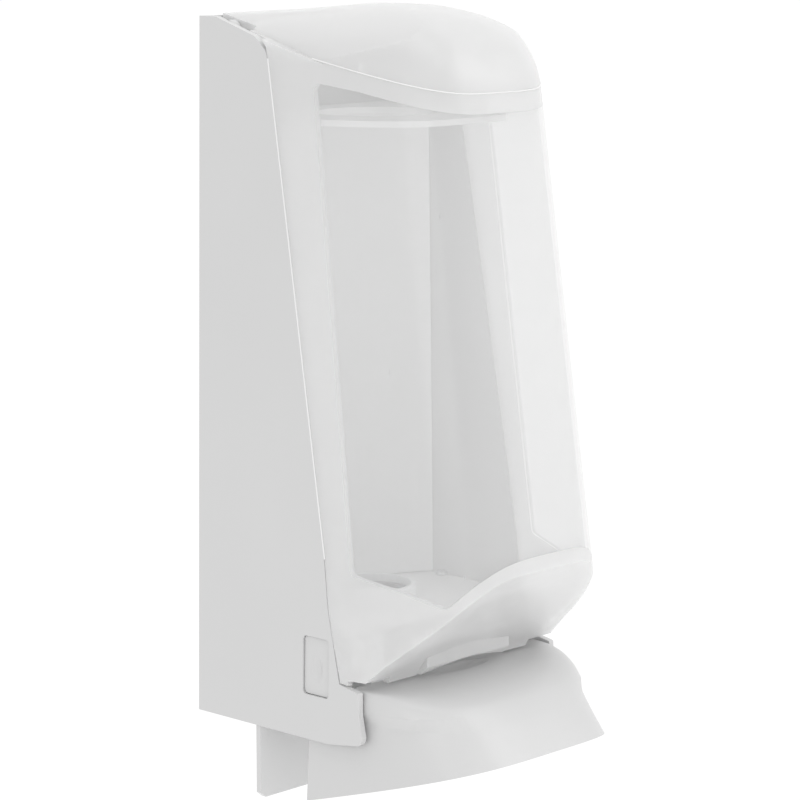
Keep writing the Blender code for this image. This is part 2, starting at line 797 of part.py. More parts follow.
def make_shield(material):
    """Plate that hangs below the body behind the lever and carries the pump."""
    edge = HALF_LOW / MM - 1.6
    low = SHIELD_LOW / MM
    half = [(52, 12), (55, -0.6), (edge, -0.6), (edge, low + 2.4), (edge - 3, low)]
    outline = [Vector(p) * MM for p in half]
    outline += [Vector((-p.x, p.y)) for p in outline[::-1]]
    rings = [[at(p.x, out, p.y) for p in outline] for out in (SHIELD_OUT, SHIELD_OUT + SHIELD_THICK)]
    shield = piece(loft("rear_shield", rings), material)
    for side, word in ((-1, "left"), (1, "right")):
        start = at(side * 45 * MM, 30 * MM, SHIELD_BOLT_UP)
        boolean(shield, cutter(rod(f"cut_shield_hole_{word}", start, (0, -1, 0), 12 * MM, 1.9 * MM, 16)))
        start = at(side * 13.5 * MM, 30 * MM, PUMP_UP)
        boolean(shield, cutter(rod(f"cut_shield_pump_{word}", start, (0, -1, 0), 12 * MM, 1.5 * MM, 16)))
    return shield


def make_pump(body_material, rubber, steel):
    barrel = rod("pump_body", at(0, PUMP_REAR, PUMP_UP), (0, -1, 0), PUMP_FRONT - PUMP_REAR, PUMP_R, 28)
    corners = ((-18, -14), (18, -14), (18, -2), (-18, -2))
    flange = rounded([(x * MM, up * MM, 3 * MM) for x, up in corners])
    foot = loft("add_foot", [[at(p.x, out, p.y) for p in flange] for out in (37.5 * MM, 40.2 * MM)])
    boolean(barrel, cutter(foot), "UNION")
    middle = at(0, NECK_OUT, PUMP_UP)
    for name, way, length in (("add_inlet", 1, 15), ("add_outlet", -1, 13)):
        branch = rod(name, middle, (0, 0, way), length * MM, 6.4 * MM, 20)
        boolean(barrel, cutter(branch), "UNION")
    boolean(barrel, cutter(rod("cut_bore", at(0, 42 * MM, PUMP_UP), (0, -1, 0), 30 * MM, BORE_R, 28)))
    for name, low, length, radius in (
        ("cut_port", -40, 60, 2.2),
        ("cut_inlet", 1.5, 20, 4.8),
        ("cut_outlet", -37.5, 20, 4.6),
    ):
        passage = rod(name, at(0, NECK_OUT, low * MM), (0, 0, 1), length * MM, radius * MM, 20)
        boolean(barrel, cutter(passage))
    for side, word in ((-1, "left"), (1, "right")):
        start = at(side * 13.5 * MM, 36 * MM, PUMP_UP)
        boolean(barrel, cutter(rod(f"cut_foot_{word}", start, (0, -1, 0), 8 * MM, 1.5 * MM, 16)))
    piece(barrel, body_material)

    cap = [(0, 3.7), (0, 9.0), (3.0, 9.0), (3.0, 3.7)]
    seat = at(0, PUMP_FRONT + GAP, PUMP_UP)
    piece(ring("pump_end_ring", in_mm(cap), seat, (0, -1, 0), 28), body_material)

    head = 57.5
    stem = [(0, 4.6), (1.4, 6.1), (1.5, 6.1), (1.5, 5.0), (4.5, 5.0), (4.5, 6.1), (6, 6.1), (6, 3.2),
            (27.8, 3.2), (27.8, 6.8), (30.1, 6.8), (30.5, 6.3)]
    origin = at(0, head * MM, PUMP_UP)
    plunger = turned("pump_plunger", in_mm(stem), origin, (0, -1, 0), 24)
    set_origin(piece(plunger, body_material), origin)
    cup = [(1.7, 5.2), (1.7, 6.2), (2.4, 6.45), (3.6, 6.45), (4.3, 6.2), (4.3, 5.2)]
    seal = ring("plunger_seal", in_mm(cup), origin, (0, -1, 0), 24)
    set_origin(piece(seal, rubber), origin)
    start = at(0, 69.7 * MM, PUMP_UP)
    spring = coil("plunger_spring", start, (0, -1, 0), 15.2 * MM, 5.6 * MM, 0.5 * MM, 5)
    set_origin(piece(spring, steel), start)


def make_flow_path(plastic, rubber):
    """Collar and funnel that take the refill's neck, with a valve above and below the pump."""
    collar = [(0.35, 14.9), (0.35, 19.0), (7.0, 19.0), (8.0, 18.2), (8.0, 16.6), (2.6, 16.6), (2.6, 14.9)]
    gasket = [(2.9, 13.6), (2.9, 16.3), (4.6, 16.3), (4.6, 13.6)]
    funnel = [(2.4, 14.4), (2.4, 11.4), (-3, 11.0), (-12, 3.0), (-44.0, 3.0), (-44.0, 4.4), (-12.6, 4.4),
              (-4.2, 12.6), (-2.5, 14.2)]
    flap = [(0, 1.0), (0, 1.9), (-1.4, 1.9), (-3.6, 1.0), (-3.6, 0.45)]
    lip = [(0, 1.6), (0, 4.3), (-1.2, 4.3), (-1.2, 2.6), (-4.6, 1.2), (-4.6, 0.6)]
    spout = [(0, 3.0), (0, 4.3), (-2.3, 4.3), (-2.3, 6.2), (-4.2, 6.2), (-6.4, 4.4), (-11.6, 3.6),
             (-11.6, 2.2), (-5, 3.0)]
    for name, profile, up, steps, material in (
        ("neck_collar", collar, SHELF_UP, 28, plastic),
        ("collar_seal", gasket, SHELF_UP, 28, rubber),
        ("inlet_tube", funnel, SHELF_UP, 24, plastic),
        ("inlet_valve", flap, 1.0 * MM, 14, rubber),
        ("outlet_valve", lip, -17.8 * MM, 16, rubber),
        ("nozzle", spout, -19.3 * MM, 20, plastic),
    ):
        piece(ring(name, in_mm(profile), at(0, NECK_OUT, up), (0, 0, 1), steps), material)


def make_buttons(plastic, steel):
    for side, word in ((-1, "left"), (1, "right")):

        def face(up, side=side):
            return side * (half_width(up) - 1.0 * MM)

        def inside(up, side=side):
            return side * (half_width(up) - WALL - GAP)

        def shape(grow, radius):
            wide = BUTTON_WIDE / 2 + grow
            tall = BUTTON_TALL / 2 + grow
            return rounded(
                [
                    (BUTTON_OUT - wide, BUTTON_UP - tall, radius),
                    (BUTTON_OUT + wide, BUTTON_UP - tall, radius),
                    (BUTTON_OUT + wide, BUTTON_UP + tall, radius),
                    (BUTTON_OUT - wide, BUTTON_UP + tall, radius),
                ],
                4,
            )

        button = side_block(f"release_button_{word}", shape(0, 1.8 * MM), face, side * 57.5 * MM)
        flange = side_block(f"add_flange_{word}", shape(1.6 * MM, 2 * MM), inside, side * 57.4 * MM)
        boolean(button, cutter(flange), "UNION")
        middle = at(side * 66 * MM, BUTTON_OUT, BUTTON_UP - 1 * MM)
        dent = ball_cut(f"cut_dent_{word}", middle, (5.6 * MM, 6.2 * MM, 10.5 * MM), 16)
        boolean(button, dent)
        piece(button, plastic)
        start = at(side * 47.2 * MM, BUTTON_OUT, BUTTON_UP)
        spring = coil(f"button_spring_{word}", start, (side, 0, 0), 9.9 * MM, 4.2 * MM, 0.4 * MM, 5)
        set_origin(piece(spring, steel), start)


def make_cradle(material):
    """Curved liner behind the refill, standing between the walls."""
    rings = []
    steps = 20
    for up in (SHELF_UP + 0.5 * MM, 257.8 * MM):
        edge = half_width(up) - WALL - 0.5 * MM
        front = []
        rear = []
        for k in range(steps + 1):
            x = edge * (2 * k / steps - 1)
            bow = (9 + 17 * abs(x / edge) ** 2.2) * MM
            front.append(at(x, bow + 1.6 * MM, up))
            rear.append(at(x, bow, up))
        rings.append(front + rear[::-1])
    return piece(loft("cradle", rings), material)


def make_guide(material):
    """Plate under the cap with a hole that keeps the top of the refill in place."""
    edge = half_width(260 * MM) - WALL - 0.5 * MM
    outline = [Vector((-edge, BACK + GAP)), Vector((edge, BACK + GAP))]
    steps = 24
    for k in range(steps + 1):
        across = math.cos(math.pi * k / steps)
        across = math.copysign(abs(across) ** 0.7, across)
        outline.append(Vector((edge * across, 43 * MM + 58 * MM * (1 - abs(across) ** 4))))
    plate = piece(flat_block("upper_guide", outline, 258.2 * MM, 260.8 * MM), material)
    boolean(plate, cutter(rod("cut_guide", at(0, 48 * MM, 250 * MM), (0, 0, 1), 20 * MM, 27 * MM, 48)))
    return plate


def main():
    shell = new_material("shell_plastic", (0.80, 0.81, 0.81), 0.38)
    cap = new_material("cover_plastic", (0.82, 0.83, 0.83), 0.34)
    clear = new_material("clear_plastic", (0.90, 0.92, 0.92), 0.08, 0.3)
    lever = new_material("lever_plastic", (0.81, 0.82, 0.82), 0.36)
    inner = new_material("inner_plastic", (0.72, 0.73, 0.73), 0.5)
    pump = new_material("pump_plastic", (0.86, 0.87, 0.88), 0.3)
    rubber = new_material("rubber", (0.08, 0.08, 0.085), 0.75)
    steel = new_material("steel", (0.62, 0.63, 0.64), 0.3)
    make_housing(shell)
    make_cover_frame(cap)
    make_window(clear)
    make_hinge_pins(steel)
    make_hood(lever)
    make_yoke(inner)
    make_pad(rubber)
    make_pivot_pins(steel)
    make_shelf(inner)
    make_screws(steel)
    make_shield(shell)
    make_pump(pump, rubber, steel)
    make_flow_path(pump, rubber)
    make_buttons(shell, steel)
    make_cradle(inner)
    make_guide(inner)


clear_scene()
PARTS = new_collection("wall_soap_dispenser")
CUTTERS = new_collection("cutters", hidden=True)
main()
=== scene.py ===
"""Finished look of a wall mounted soap dispenser: smooth shells with rounded edges, a hazy
window, the lever's hood and moulded plastic, rubber and steel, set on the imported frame.

Metres, +Z up, +Y into the wall. "out" is the distance out from the wall and "up" is the height
above the bottom edge of the housing."""

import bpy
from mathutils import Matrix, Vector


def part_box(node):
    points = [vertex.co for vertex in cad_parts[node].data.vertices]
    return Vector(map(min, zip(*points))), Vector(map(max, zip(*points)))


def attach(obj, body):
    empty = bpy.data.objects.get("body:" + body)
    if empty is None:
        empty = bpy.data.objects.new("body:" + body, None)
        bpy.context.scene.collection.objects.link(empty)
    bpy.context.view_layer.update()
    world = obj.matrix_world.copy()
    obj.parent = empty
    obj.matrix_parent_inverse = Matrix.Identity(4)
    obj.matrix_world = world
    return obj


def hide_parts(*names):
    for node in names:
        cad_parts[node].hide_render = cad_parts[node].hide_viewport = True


bl_info = {
    "name": "Wall Soap Dispenser",
    "version": (1, 0, 0),
    "blender": (4, 5, 0),
    "location": "View3D > Sidebar > Dispenser",
    "description": "Builds the visible pieces and finishes of a wall mounted soap dispenser",
    "category": "Object",
}

import math

import bmesh
import bpy
from bpy.props import FloatProperty, FloatVectorProperty, PointerProperty
from mathutils import Vector

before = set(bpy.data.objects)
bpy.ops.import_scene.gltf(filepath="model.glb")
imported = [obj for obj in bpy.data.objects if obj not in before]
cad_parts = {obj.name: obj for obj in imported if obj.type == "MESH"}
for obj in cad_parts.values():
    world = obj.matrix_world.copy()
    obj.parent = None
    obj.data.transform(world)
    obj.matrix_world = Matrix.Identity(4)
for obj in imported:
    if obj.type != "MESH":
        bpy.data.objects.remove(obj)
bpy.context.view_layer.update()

MM = 0.001

# Housing
HOUSING_LOW, HOUSING_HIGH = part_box("housing")
HEIGHT = HOUSING_HIGH.z - HOUSING_LOW.z
HALF_LOW = HOUSING_HIGH.x
HALF_HIGH = 58.0 * MM
WALL = 3.0 * MM
BACK = 4.0 * MM
FLOOR_OUT = 34.0 * MM
ARM_OUT = 97.0 * MM
ARM_UP = 25.0 * MM

# Seam between the housing and the cover
SEAM_UP = 286.0 * MM
SEAM_OUT = 41.0 * MM
SEAM_LEAN = 0.1707

# Cover
BULGE_LOW = 72.0 * MM
BULGE_HIGH = 77.0 * MM
BULGE_POWER = 4.0
BEAD_LEAN = 0.24
BEAD_R = 0.28 * MM
DOME_TOP = 307.3 * MM
DOME_HALF = 52.0 * MM
LEDGE_UP = 288.0 * MM
LEDGE_OUT = 55.0 * MM
LEDGE_LEAN = 0.31
CHIN_UP = 26.2 * MM
LIP_HALF = 26.0 * MM
CHIN_INWARD = Vector((-0.66, 0.75))
DISH_HALF = 46.0 * MM
DISH_DEEP = 5.0 * MM
HINGE_OUT = 13.5 * MM
HINGE_UP = 295.5 * MM
BARREL_R = 5.6 * MM
HINGE_HALF = 50.0 * MM
HINGE_PIN_R = 1.9 * MM
GAP = 0.35 * MM

# Lever
HOOD_POWER = 4.0
HOOD_REAR = 65.5 * MM
RIM_UP = -28.0 * MM
RIM_LEAN = 0.30

# Shelf, buttons and shield
SHELF_UP = 46.0 * MM
SHELF_THICK = 3.0 * MM
PUMP_UP = -8.0 * MM
BUTTON_OUT = 72.0 * MM
BUTTON_UP = 32.0 * MM
BUTTON_WIDE = 15.0 * MM
BUTTON_TALL = 25.0 * MM
BUTTON_GAP = 0.14 * MM
SHIELD_OUT = 34.6 * MM
SHIELD_THICK = 2.5 * MM
SHIELD_LOW = -33.0 * MM
SHIELD_BOLT_UP = 7.0 * MM

SIDES = ((-1, "left"), (1, "right"))


# Outlines and solids


def at(x, out, up):
    """A point from its side position, its distance out from the wall and its height."""
    return Vector((x, -out, HOUSING_LOW.z + up))


def in_mm(pairs):
    """The same pairs in metres."""
    return [Vector(pair) * MM for pair in pairs]


def closed_object(name, verts, faces):
    """A closed mesh object with its faces turned outwards."""
    mesh = bpy.data.meshes.new(name)
    mesh.from_pydata(verts, [], faces)
    work = bmesh.new()
    work.from_mesh(mesh)
    bmesh.ops.remove_doubles(work, verts=work.verts, dist=1e-7)
    bmesh.ops.recalc_face_normals(work, faces=work.faces)
    bmesh.ops.connect_verts_nonplanar(work, angle_limit=0.0005, faces=work.faces)
    work.to_mesh(mesh)
    work.free()
    item = bpy.data.objects.new(name, mesh)
    bpy.context.scene.collection.objects.link(item)
    return item


def settle(item):
    """Applies every modifier of the object."""
    graph = bpy.context.evaluated_depsgraph_get()
    mesh = bpy.data.meshes.new_from_object(item.evaluated_get(graph))
    item.modifiers.clear()
    item.data = mesh
    return item


def combine(item, tool, operation="DIFFERENCE"):
    """Cuts or joins a tool at once, and removes the tool."""
    step = item.modifiers.new("combine", "BOOLEAN")
    step.operation = operation
    step.solver = "EXACT"
    step.object = tool
    settle(item)
    bpy.data.objects.remove(tool, do_unlink=True)
    return item


def rounded(corners, steps=10):
    """Outline from (a, b, radius) corners, each turned by an arc of its radius."""
    line = []
    count = len(corners)
    for i, (a, b, radius) in enumerate(corners):
        here = Vector((a, b))
        if radius <= 0:
            line.append(here)
            continue
        before = Vector(corners[i - 1][:2]) - here
        after = Vector(corners[(i + 1) % count][:2]) - here
        angle = before.angle(after)
        reach = radius / math.tan(angle / 2)
        start = here + before.normalized() * reach
        end = here + after.normalized() * reach
        middle = here + (before.normalized() + after.normalized()).normalized() * (
            radius / math.sin(angle / 2)
        )
        first = (start - middle).to_3d()
        last = (end - middle).to_3d()
        for k in range(steps + 1):
            turned_point = first.slerp(last, k / steps).normalized() * radius
            line.append(middle + turned_point.to_2d())
    return line


def rounded_mm(corners, steps=10):
    return rounded([(a * MM, b * MM, radius * MM) for a, b, radius in corners], steps)


def eased(points, per_span):
    """A smooth line through the points, with the given number of steps in each span."""
    points = [Vector(p) for p in points]
    line = []
    for i in range(len(points) - 1):
        before = points[max(i - 1, 0)]
        one, two = points[i], points[i + 1]
        after = points[min(i + 2, len(points) - 1)]
        for k in range(per_span):
            t = k / per_span
            line.append(
                0.5
                * (
                    2 * one
                    + (two - before) * t
                    + (2 * before - 5 * one + 4 * two - after) * t * t
                    + (3 * one - before - 3 * two + after) * t * t * t
                )
            )
    line.append(points[-1])
    return line


def reading(line, place):
    """The second value of a line of (first, second) points where the first has that value."""
    for one, two in zip(line, line[1:]):
        if place <= two.x:
            share = (place - one.x) / max(two.x - one.x, 1e-9)
            return one.y + (two.y - one.y) * share
    return line[-1].y


def grown(outline, distance):
    """The outline moved outwards by a distance, or inwards if it is negative."""
    count = len(outline)
    area = sum(
        outline[i - 1].x * outline[i].y - outline[i].x * outline[i - 1].y for i in range(count)
    )
    side = 1 if area > 0 else -1
    line = []
    for i, here in enumerate(outline):
        one = (here - outline[i - 1]).normalized()
        two = (outline[(i + 1) % count] - here).normalized()
        normal = Vector((one.y + two.y, -one.x - two.x)).normalized()
        across = Vector((one.y, -one.x))
        line.append(here + normal * side * distance / max(normal.dot(across), 0.3))
    return line


def loft(name, rings):
    """A solid through rings of equal length, closed by its first and last ring."""
    size = len(rings[0])
    verts = [point for ring in rings for point in ring]
    faces = [tuple(range(size)), tuple(range(len(verts) - size, len(verts)))]
    for i in range(len(rings) - 1):
        low = i * size
        for k in range(size):
            after = (k + 1) % size
            faces.append((low + k, low + after, low + size + after, low + size + k))
    return closed_object(name, verts, faces)


def side_block(name, outline, left, right):
    """A side-view outline swept from one x to another; either may be a function of height."""

    def x_of(side, up):
        return side(up) if callable(side) else side

    rings = [[at(x_of(side, p.y), p.x, p.y) for p in outline] for side in (left, right)]
    return loft(name, rings)


def box(name, x, out, up):
    corners = ((out[0], up[0]), (out[1], up[0]), (out[1], up[1]), (out[0], up[1]))
    return side_block(name, [Vector(c) for c in corners], min(x), max(x))


def front_block(name, outline, near, far):
    """An outline seen from the front, as (x, up), swept from one distance out to another."""
    return loft(name, [[at(p.x, out, p.y) for p in outline] for out in (near, far)])


def turned(name, profile, start, axis, steps=48):
    """A solid of revolution: (distance along the axis, radius) pairs about start and axis."""
    axis = Vector(axis).normalized()
    one = axis.orthogonal().normalized()
    two = axis.cross(one)
    rings = []
    for along, radius in profile:
        ring = []
        for k in range(steps):
            turn = 2 * math.pi * k / steps
            ring.append(start + axis * along + (one * math.cos(turn) + two * math.sin(turn)) * radius)
        rings.append(ring)
    return loft(name, rings)


def rod(name, start, axis, length, radius, steps=48, edge=0.0):
    profile = [(0, radius), (length, radius)]
    if edge:
        profile = [(0, radius - edge), (edge, radius), (length - edge, radius)]
        profile.append((length, radius - edge))
    return turned(name, profile, start, axis, steps)


def ellipsoid(name, middle, radii, steps=64):
    rings = []
    for i in range(1, steps // 2):
        tilt = math.pi * i / (steps // 2)
        ring = []
        for k in range(steps):
            turn = 2 * math.pi * k / steps
            place = (
                radii[0] * math.cos(tilt),
                radii[1] * math.sin(tilt) * math.cos(turn),
                radii[2] * math.sin(tilt) * math.sin(turn),
            )
            ring.append(middle + Vector(place))
        rings.append(ring)
    return loft(name, rings)


def soften_edges(item, width, angle=38.0, segments=3):
    """Rounds the sharp edges by a small radius and shades the rest smooth."""
    work = bmesh.new()
    work.from_mesh(item.data)
    bmesh.ops.remove_doubles(work, verts=work.verts, dist=0.02 * MM)
    bmesh.ops.dissolve_limit(
        work,
        angle_limit=math.radians(0.4),
        use_dissolve_boundaries=False,
        verts=work.verts,
        edges=work.edges,
    )
    work.to_mesh(item.data)
    work.free()
    item.data.shade_smooth()
    item.data.set_sharp_from_angle(angle=math.radians(angle))
    bevel = item.modifiers.new("edge rounding", "BEVEL")
    bevel.width = width
    bevel.segments = segments
    bevel.limit_method = "ANGLE"
    bevel.angle_limit = math.radians(angle)
    bevel.use_clamp_overlap = True
    bevel.harden_normals = False
    normals = item.modifiers.new("even normals", "WEIGHTED_NORMAL")
    normals.keep_sharp = True
    normals.weight = 90
    settle(item)
    return item


def install(item, body, slot, material, *nodes):
    """Gives a piece its finish and body, and lets it stand for CAD nodes; the slot is not used."""
    item.data.materials.clear()
    item.data.materials.append(material)
    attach(item, body)
    if nodes:
        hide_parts(*nodes)
    return item


# Shapes of the shells


def half_width(up):
    return HALF_LOW + (HALF_HIGH - HALF_LOW) * up / HEIGHT


def seam_out(up):
    return SEAM_OUT + SEAM_LEAN * (SEAM_UP - up)


def housing_outline():
    """Side view of the housing's walls: arm at the lower front, leaning seam, sloping top."""
    return rounded(
        [
            (0, 0, 0),
            (80 * MM, 0, 30 * MM),
            (100 * MM, 3 * MM, 3.5 * MM),
            (97.4 * MM, 15 * MM, 12 * MM),
            (ARM_OUT, ARM_UP, 0.8 * MM),
            (85.8 * MM, 27.0 * MM, 1 * MM),
            (78.8 * MM, 58.3 * MM, 20 * MM),
            (seam_out(76 * MM), 76 * MM, 40 * MM),
            (seam_out(288 * MM), 288 * MM, 6 * MM),
            (34 * MM, 294.4 * MM, 8 * MM),
            (9.8 * MM, HEIGHT, 4 * MM),
            (0, HEIGHT, 0),
        ]
    )


def seam_clearance():
    """Side view of all that the walls take up, so that the cover stays clear of it."""
    return in_mm(
        (
            (-10, -10), (101.5, -10), (101.5, 24.4), (97.4, 25.6), (86.4, 27.6), (81.9, 46.0),
            (79.25, 58.4), (78.2, 68.0), (77.0, 78.0), (41.3, 286.6), (40.4, 290.4), (37.0, 294.0),
            (37.0, 320), (-10, 320),
        )
    )


def dome_retreat(up):
    """How far the front falls back near the top, where it rolls over into the dome."""
    radius = 34 * MM
    rise = up - (DOME_TOP - radius)
    if rise <= 0:
        return 0.0
    share = min(rise / radius, 1.0)
    return radius * 1.45 * (1 - math.sqrt(1 - share * share))


def cover_ring(up, inset, back):
    """The cover in plan at one height: straight back, and a front that bulges past the seam."""
    half = half_width(up) - inset
    share = (up - 84 * MM) / (190 * MM)
    bulge = BULGE_LOW + (BULGE_HIGH - BULGE_LOW) * share
    front = seam_out(up) + bulge - dome_retreat(up + inset)
    root = min(seam_out(up), front - 20 * MM)
    ring = [at(half, back, up)]
    steps = 110
    for k in range(steps + 1):
        angle = math.pi * k / steps
        across = math.copysign(abs(math.cos(angle)) ** 0.62, math.cos(angle))
        out = root + (front - inset - root) * (1 - abs(across) ** BULGE_POWER)
        ring.append(at(half * across, out, up))
    ring.append(at(-half, back, up))
    return ring


def cover_place(up, share):
    """The point at a share of the way round the cover's outer face, at one height."""
    ring = cover_ring(up, 0.0, 0.0)[1:-1]
    place = share * (len(ring) - 1)
    i = min(int(place), len(ring) - 2)
    return ring[i].lerp(ring[i + 1], place - i)


def cover_body(name, inset, back):
    levels = [15 + 11.5 * k for k in range(22)]
    levels += [262 + 2.5 * k for k in range(11)]
    levels += [289 + 1.5 * k for k in range(10)] + [304.0, 305.4, 306.6, 307.2]
    return loft(name, [cover_ring(level * MM, inset, back) for level in levels])


RIDGE = eased(
    in_mm(
        (
            (-10, 302.9), (0, 303.2), (12, 303.8), (26, 305.2), (42, 306.6), (60, 307.3), (76, 306.9),
            (90, 305.2), (100, 302.6), (108, 299.0), (115, 294.0), (121, 287.0), (128, 276.0),
            (150, 240), (172, 204),
        )
    ),
    8,
)


def ridge(out):
    """Height of the dome along its middle line."""
    return reading(RIDGE, out)


def ledge(out):
    """Height of the flat strip beside the dome, which carries on the slope of the walls' tops."""
    return LEDGE_UP - LEDGE_LEAN * (out - LEDGE_OUT)


def dome(name, drop):
    """All that lies under the dome: a vault over the middle, with a flat ledge at each side."""
    sides = [-70, -60, -53.2, -52.6, -52.1, -51.6, -50.8, -49.4]
    sides += [-47.5, -45, -42, -38, -33, -27, -20, -10]
    sides = sides + [0] + [-x for x in reversed(sides)]
    outs = [-9.9 + 3.5 * k for k in range(49)]
    top = []
    for out in outs:
        for x in sides:
            share = min(abs(x * MM) / DOME_HALF, 1.0)
            low = min(ledge(out * MM), ridge(out * MM))
            up = low + (ridge(out * MM) - low) * (1 - share * share) ** 0.62
            top.append(at(x * MM, out * MM, up - drop))
    wide = len(sides)
    deep = len(outs)
    floor = [at(x * MM, out * MM, -40 * MM) for out in outs for x in sides]
    under = len(top)
    faces = []
    for i in range(deep - 1):
        for k in range(wide - 1):
            a = i * wide + k
            quad = (a, a + 1, a + wide + 1, a + wide)
            faces.append(quad)
            faces.append(tuple(under + v for v in reversed(quad)))
    rim = list(range(wide))
    rim += [i * wide + wide - 1 for i in range(1, deep)]
    rim += [(deep - 1) * wide + k for k in range(wide - 2, -1, -1)]
    rim += [i * wide for i in range(deep - 2, 0, -1)]
    for a, b in zip(rim, rim[1:] + rim[:1]):
        faces.append((a, under + a, under + b, b))
    return closed_object(name, top + floor, faces)


def chin_outline(lift, dish=0.0):
    """Side view of what is cut away under the chin, which leans back down to the lever."""
    points = in_mm(((98.6, 29.6), (107, 37.2), (117, 45.4), (128, 55.0), (139, 65.6), (148.5, 76.4)))
    slope = eased(points, 5)
    line = in_mm(((96.9, -60), (96.9, 27)))
    for k, point in enumerate(slope):
        line.append(point + CHIN_INWARD * dish * math.sin(math.pi * k / (len(slope) - 1)))
    line += in_mm(((190, 123), (190, -60)))
    return grown(line, lift) if lift else line


def chin_tool(lift):
    """All that lies under the chin, whose slope is dished between the two side edges."""
    rings = []
    for x in [-80] + list(range(-46, 47, 2)) + [80]:
        share = min(abs(x * MM) / DISH_HALF, 1.0)
        dish = DISH_DEEP * (1 - share * share) ** 1.5
        rings.append([at(x * MM, p.x, p.y) for p in chin_outline(lift, dish)])
    return loft("chin", rings)


def pane_outline():
    """Side view of the window: between the side bands along the seam, from the chin to the cap."""
    return rounded_mm(
        (
            (89.0, 73.6, 3), (114, 68.4, 20), (130.5, 62.9, 4), (150, 85.2, 0), (175, 114, 0),
            (175, 251, 0), (121.5, 264, 0), (84, 273.2, 20), (63.4, 276.4, 3), (78.4, 158, 0),
        )
    )


def button_outline(grow, radius):
    """Side view of the release button, or of its hole or flange when grown."""
    wide = BUTTON_WIDE / 2 + grow
    tall = BUTTON_TALL / 2 + grow
    corners = ((-1, -1), (1, -1), (1, 1), (-1, 1))
    return rounded([(BUTTON_OUT + wide * a, BUTTON_UP + tall * b, radius) for a, b in corners], 8)


HOOD_LINE = eased(
    in_mm(
        (
            (96.4, 25.0), (106, 25.0), (117, 24.6), (124.5, 23.0), (130.5, 20.0), (135, 16.0),
            (139.5, 11.2), (145, 4.8), (150.2, -1.2), (155.0, -7.0),
        )
    ),
    6,
)


def hood_profile(share):
    """Front of the hood from its top edge (0) over a rounded brow to its rim (1)."""
    place = share * (len(HOOD_LINE) - 1)
    i = min(int(place), len(HOOD_LINE) - 2)
    return HOOD_LINE[i] + (HOOD_LINE[i + 1] - HOOD_LINE[i]) * (place - i)


def hood_ring(out, up, half, root, inset):
    """The hood in plan at one level, from its rear left corner round its front to the right."""
    ring = []
    steps = 110
    for k in range(steps + 1):
        angle = math.pi * k / steps
        across = -math.copysign(abs(math.cos(angle)) ** 0.5, math.cos(angle))
        reach = root + (out - inset - root) * (1 - abs(across) ** HOOD_POWER) ** (1 / 2.6)
        ring.append(at((half - inset) * across, reach, up))
    return [at(inset - half, root - 2 * MM, up)] + ring + [at(half - inset, root - 2 * MM, up)]


def hood_skin(name, inset):
    """One skin of the hood, through rings from its top down to below its rim."""
    table = (
        (0, 55.0, 92), (1, 57.0, 90), (2, 58.3, 88), (3, 58.8, 87), (4, 59.2, 86), (5, 59.2, 85),
        (6, 59.2, 63), (7, 59.2, 62), (8, 59.6, 62), (9, 60.2, 62), (10.5, 60.8, 62), (14, 62.4, 62),
    )
    rings = []
    steps = []
    for one, two in zip(table, table[1:]):
        parts = 1 if one[0] == 5 else 5
        for k in range(parts):
            share = k / parts
            steps.append([a + (b - a) * share for a, b in zip(one, two)])
    steps.append(table[-1])
    for share, half, root in steps:
        out, up = hood_profile(min(share / 9, 1))
        if share > 9:
            out += (share - 9) * 7 * MM
            up -= (share - 9) * 7 * MM
        back = root * MM - (6 * MM if inset else 0)
        rings.append(hood_ring(out, up - inset, half * MM, min(back, out - 4 * MM), inset))
    return loft(name, rings)


def rim_height(out):
    return RIM_UP + RIM_LEAN * (out - HOOD_REAR)


# Finishes


def add_node(tree, kind, settings=None, **values):
    """Adds a shader node with its settings and the values of its inputs."""
    made = tree.nodes.new(kind)
    for key, value in (settings or {}).items():
        setattr(made, key, value)
    for key, value in values.items():
        made.inputs[key.replace("_", " ")].default_value = value
    return made


def noise(tree, coords, scale, detail=3.0, roughness=0.5, stretch=None):
    """Noise in the piece's own metres, optionally stretched."""
    made = add_node(tree, "ShaderNodeTexNoise", Scale=scale, Detail=detail, Roughness=roughness)
    source = coords
    if stretch:
        squeeze = add_node(tree, "ShaderNodeMapping", Scale=stretch)
        tree.links.new(coords, squeeze.inputs["Vector"])
        source = squeeze.outputs["Vector"]
    tree.links.new(source, made.inputs["Vector"])
    return made.outputs["Fac"]


def ranged(tree, value, low, high, start=0.3, end=0.7):
    """Spreads a value between two limits."""
    made = add_node(
        tree, "ShaderNodeMapRange", From_Min=start, From_Max=end, To_Min=low, To_Max=high
    )
    tree.links.new(value, made.inputs["Value"])
    return made.outputs["Result"]


def mixed(tree, share, one, two):
    """Mixes two colours by a share."""
    made = add_node(tree, "ShaderNodeMix", {"data_type": "RGBA"})
    for place, colour in ((6, one), (7, two)):
        if isinstance(colour, (tuple, list)):
            made.inputs[place].default_value = (*colour, 1.0)
        else:
            tree.links.new(colour, made.inputs[place])
    tree.links.new(share, made.inputs[0])
    return made.outputs[2]


def multiplied(tree, one, two):
    made = add_node(tree, "ShaderNodeMath", {"operation": "MULTIPLY"})
    for place, value in ((0, one), (1, two)):
        if isinstance(value, float):
            made.inputs[place].default_value = value
        else:
            tree.links.new(value, made.inputs[place])
    return made.outputs[0]


def bumped(tree, height, strength, distance, before=None):
    made = add_node(tree, "ShaderNodeBump", Strength=strength, Distance=distance)
    tree.links.new(height, made.inputs["Height"])
    if before:
        tree.links.new(before, made.inputs["Normal"])
    return made.outputs["Normal"]


def start_finish(name):
    material = bpy.data.materials.new(name)
    material.use_nodes = True
    tree = material.node_tree
    shader = tree.nodes["Principled BSDF"]
    coords = add_node(tree, "ShaderNodeTexCoord").outputs["Object"]
    return material, tree, shader, coords


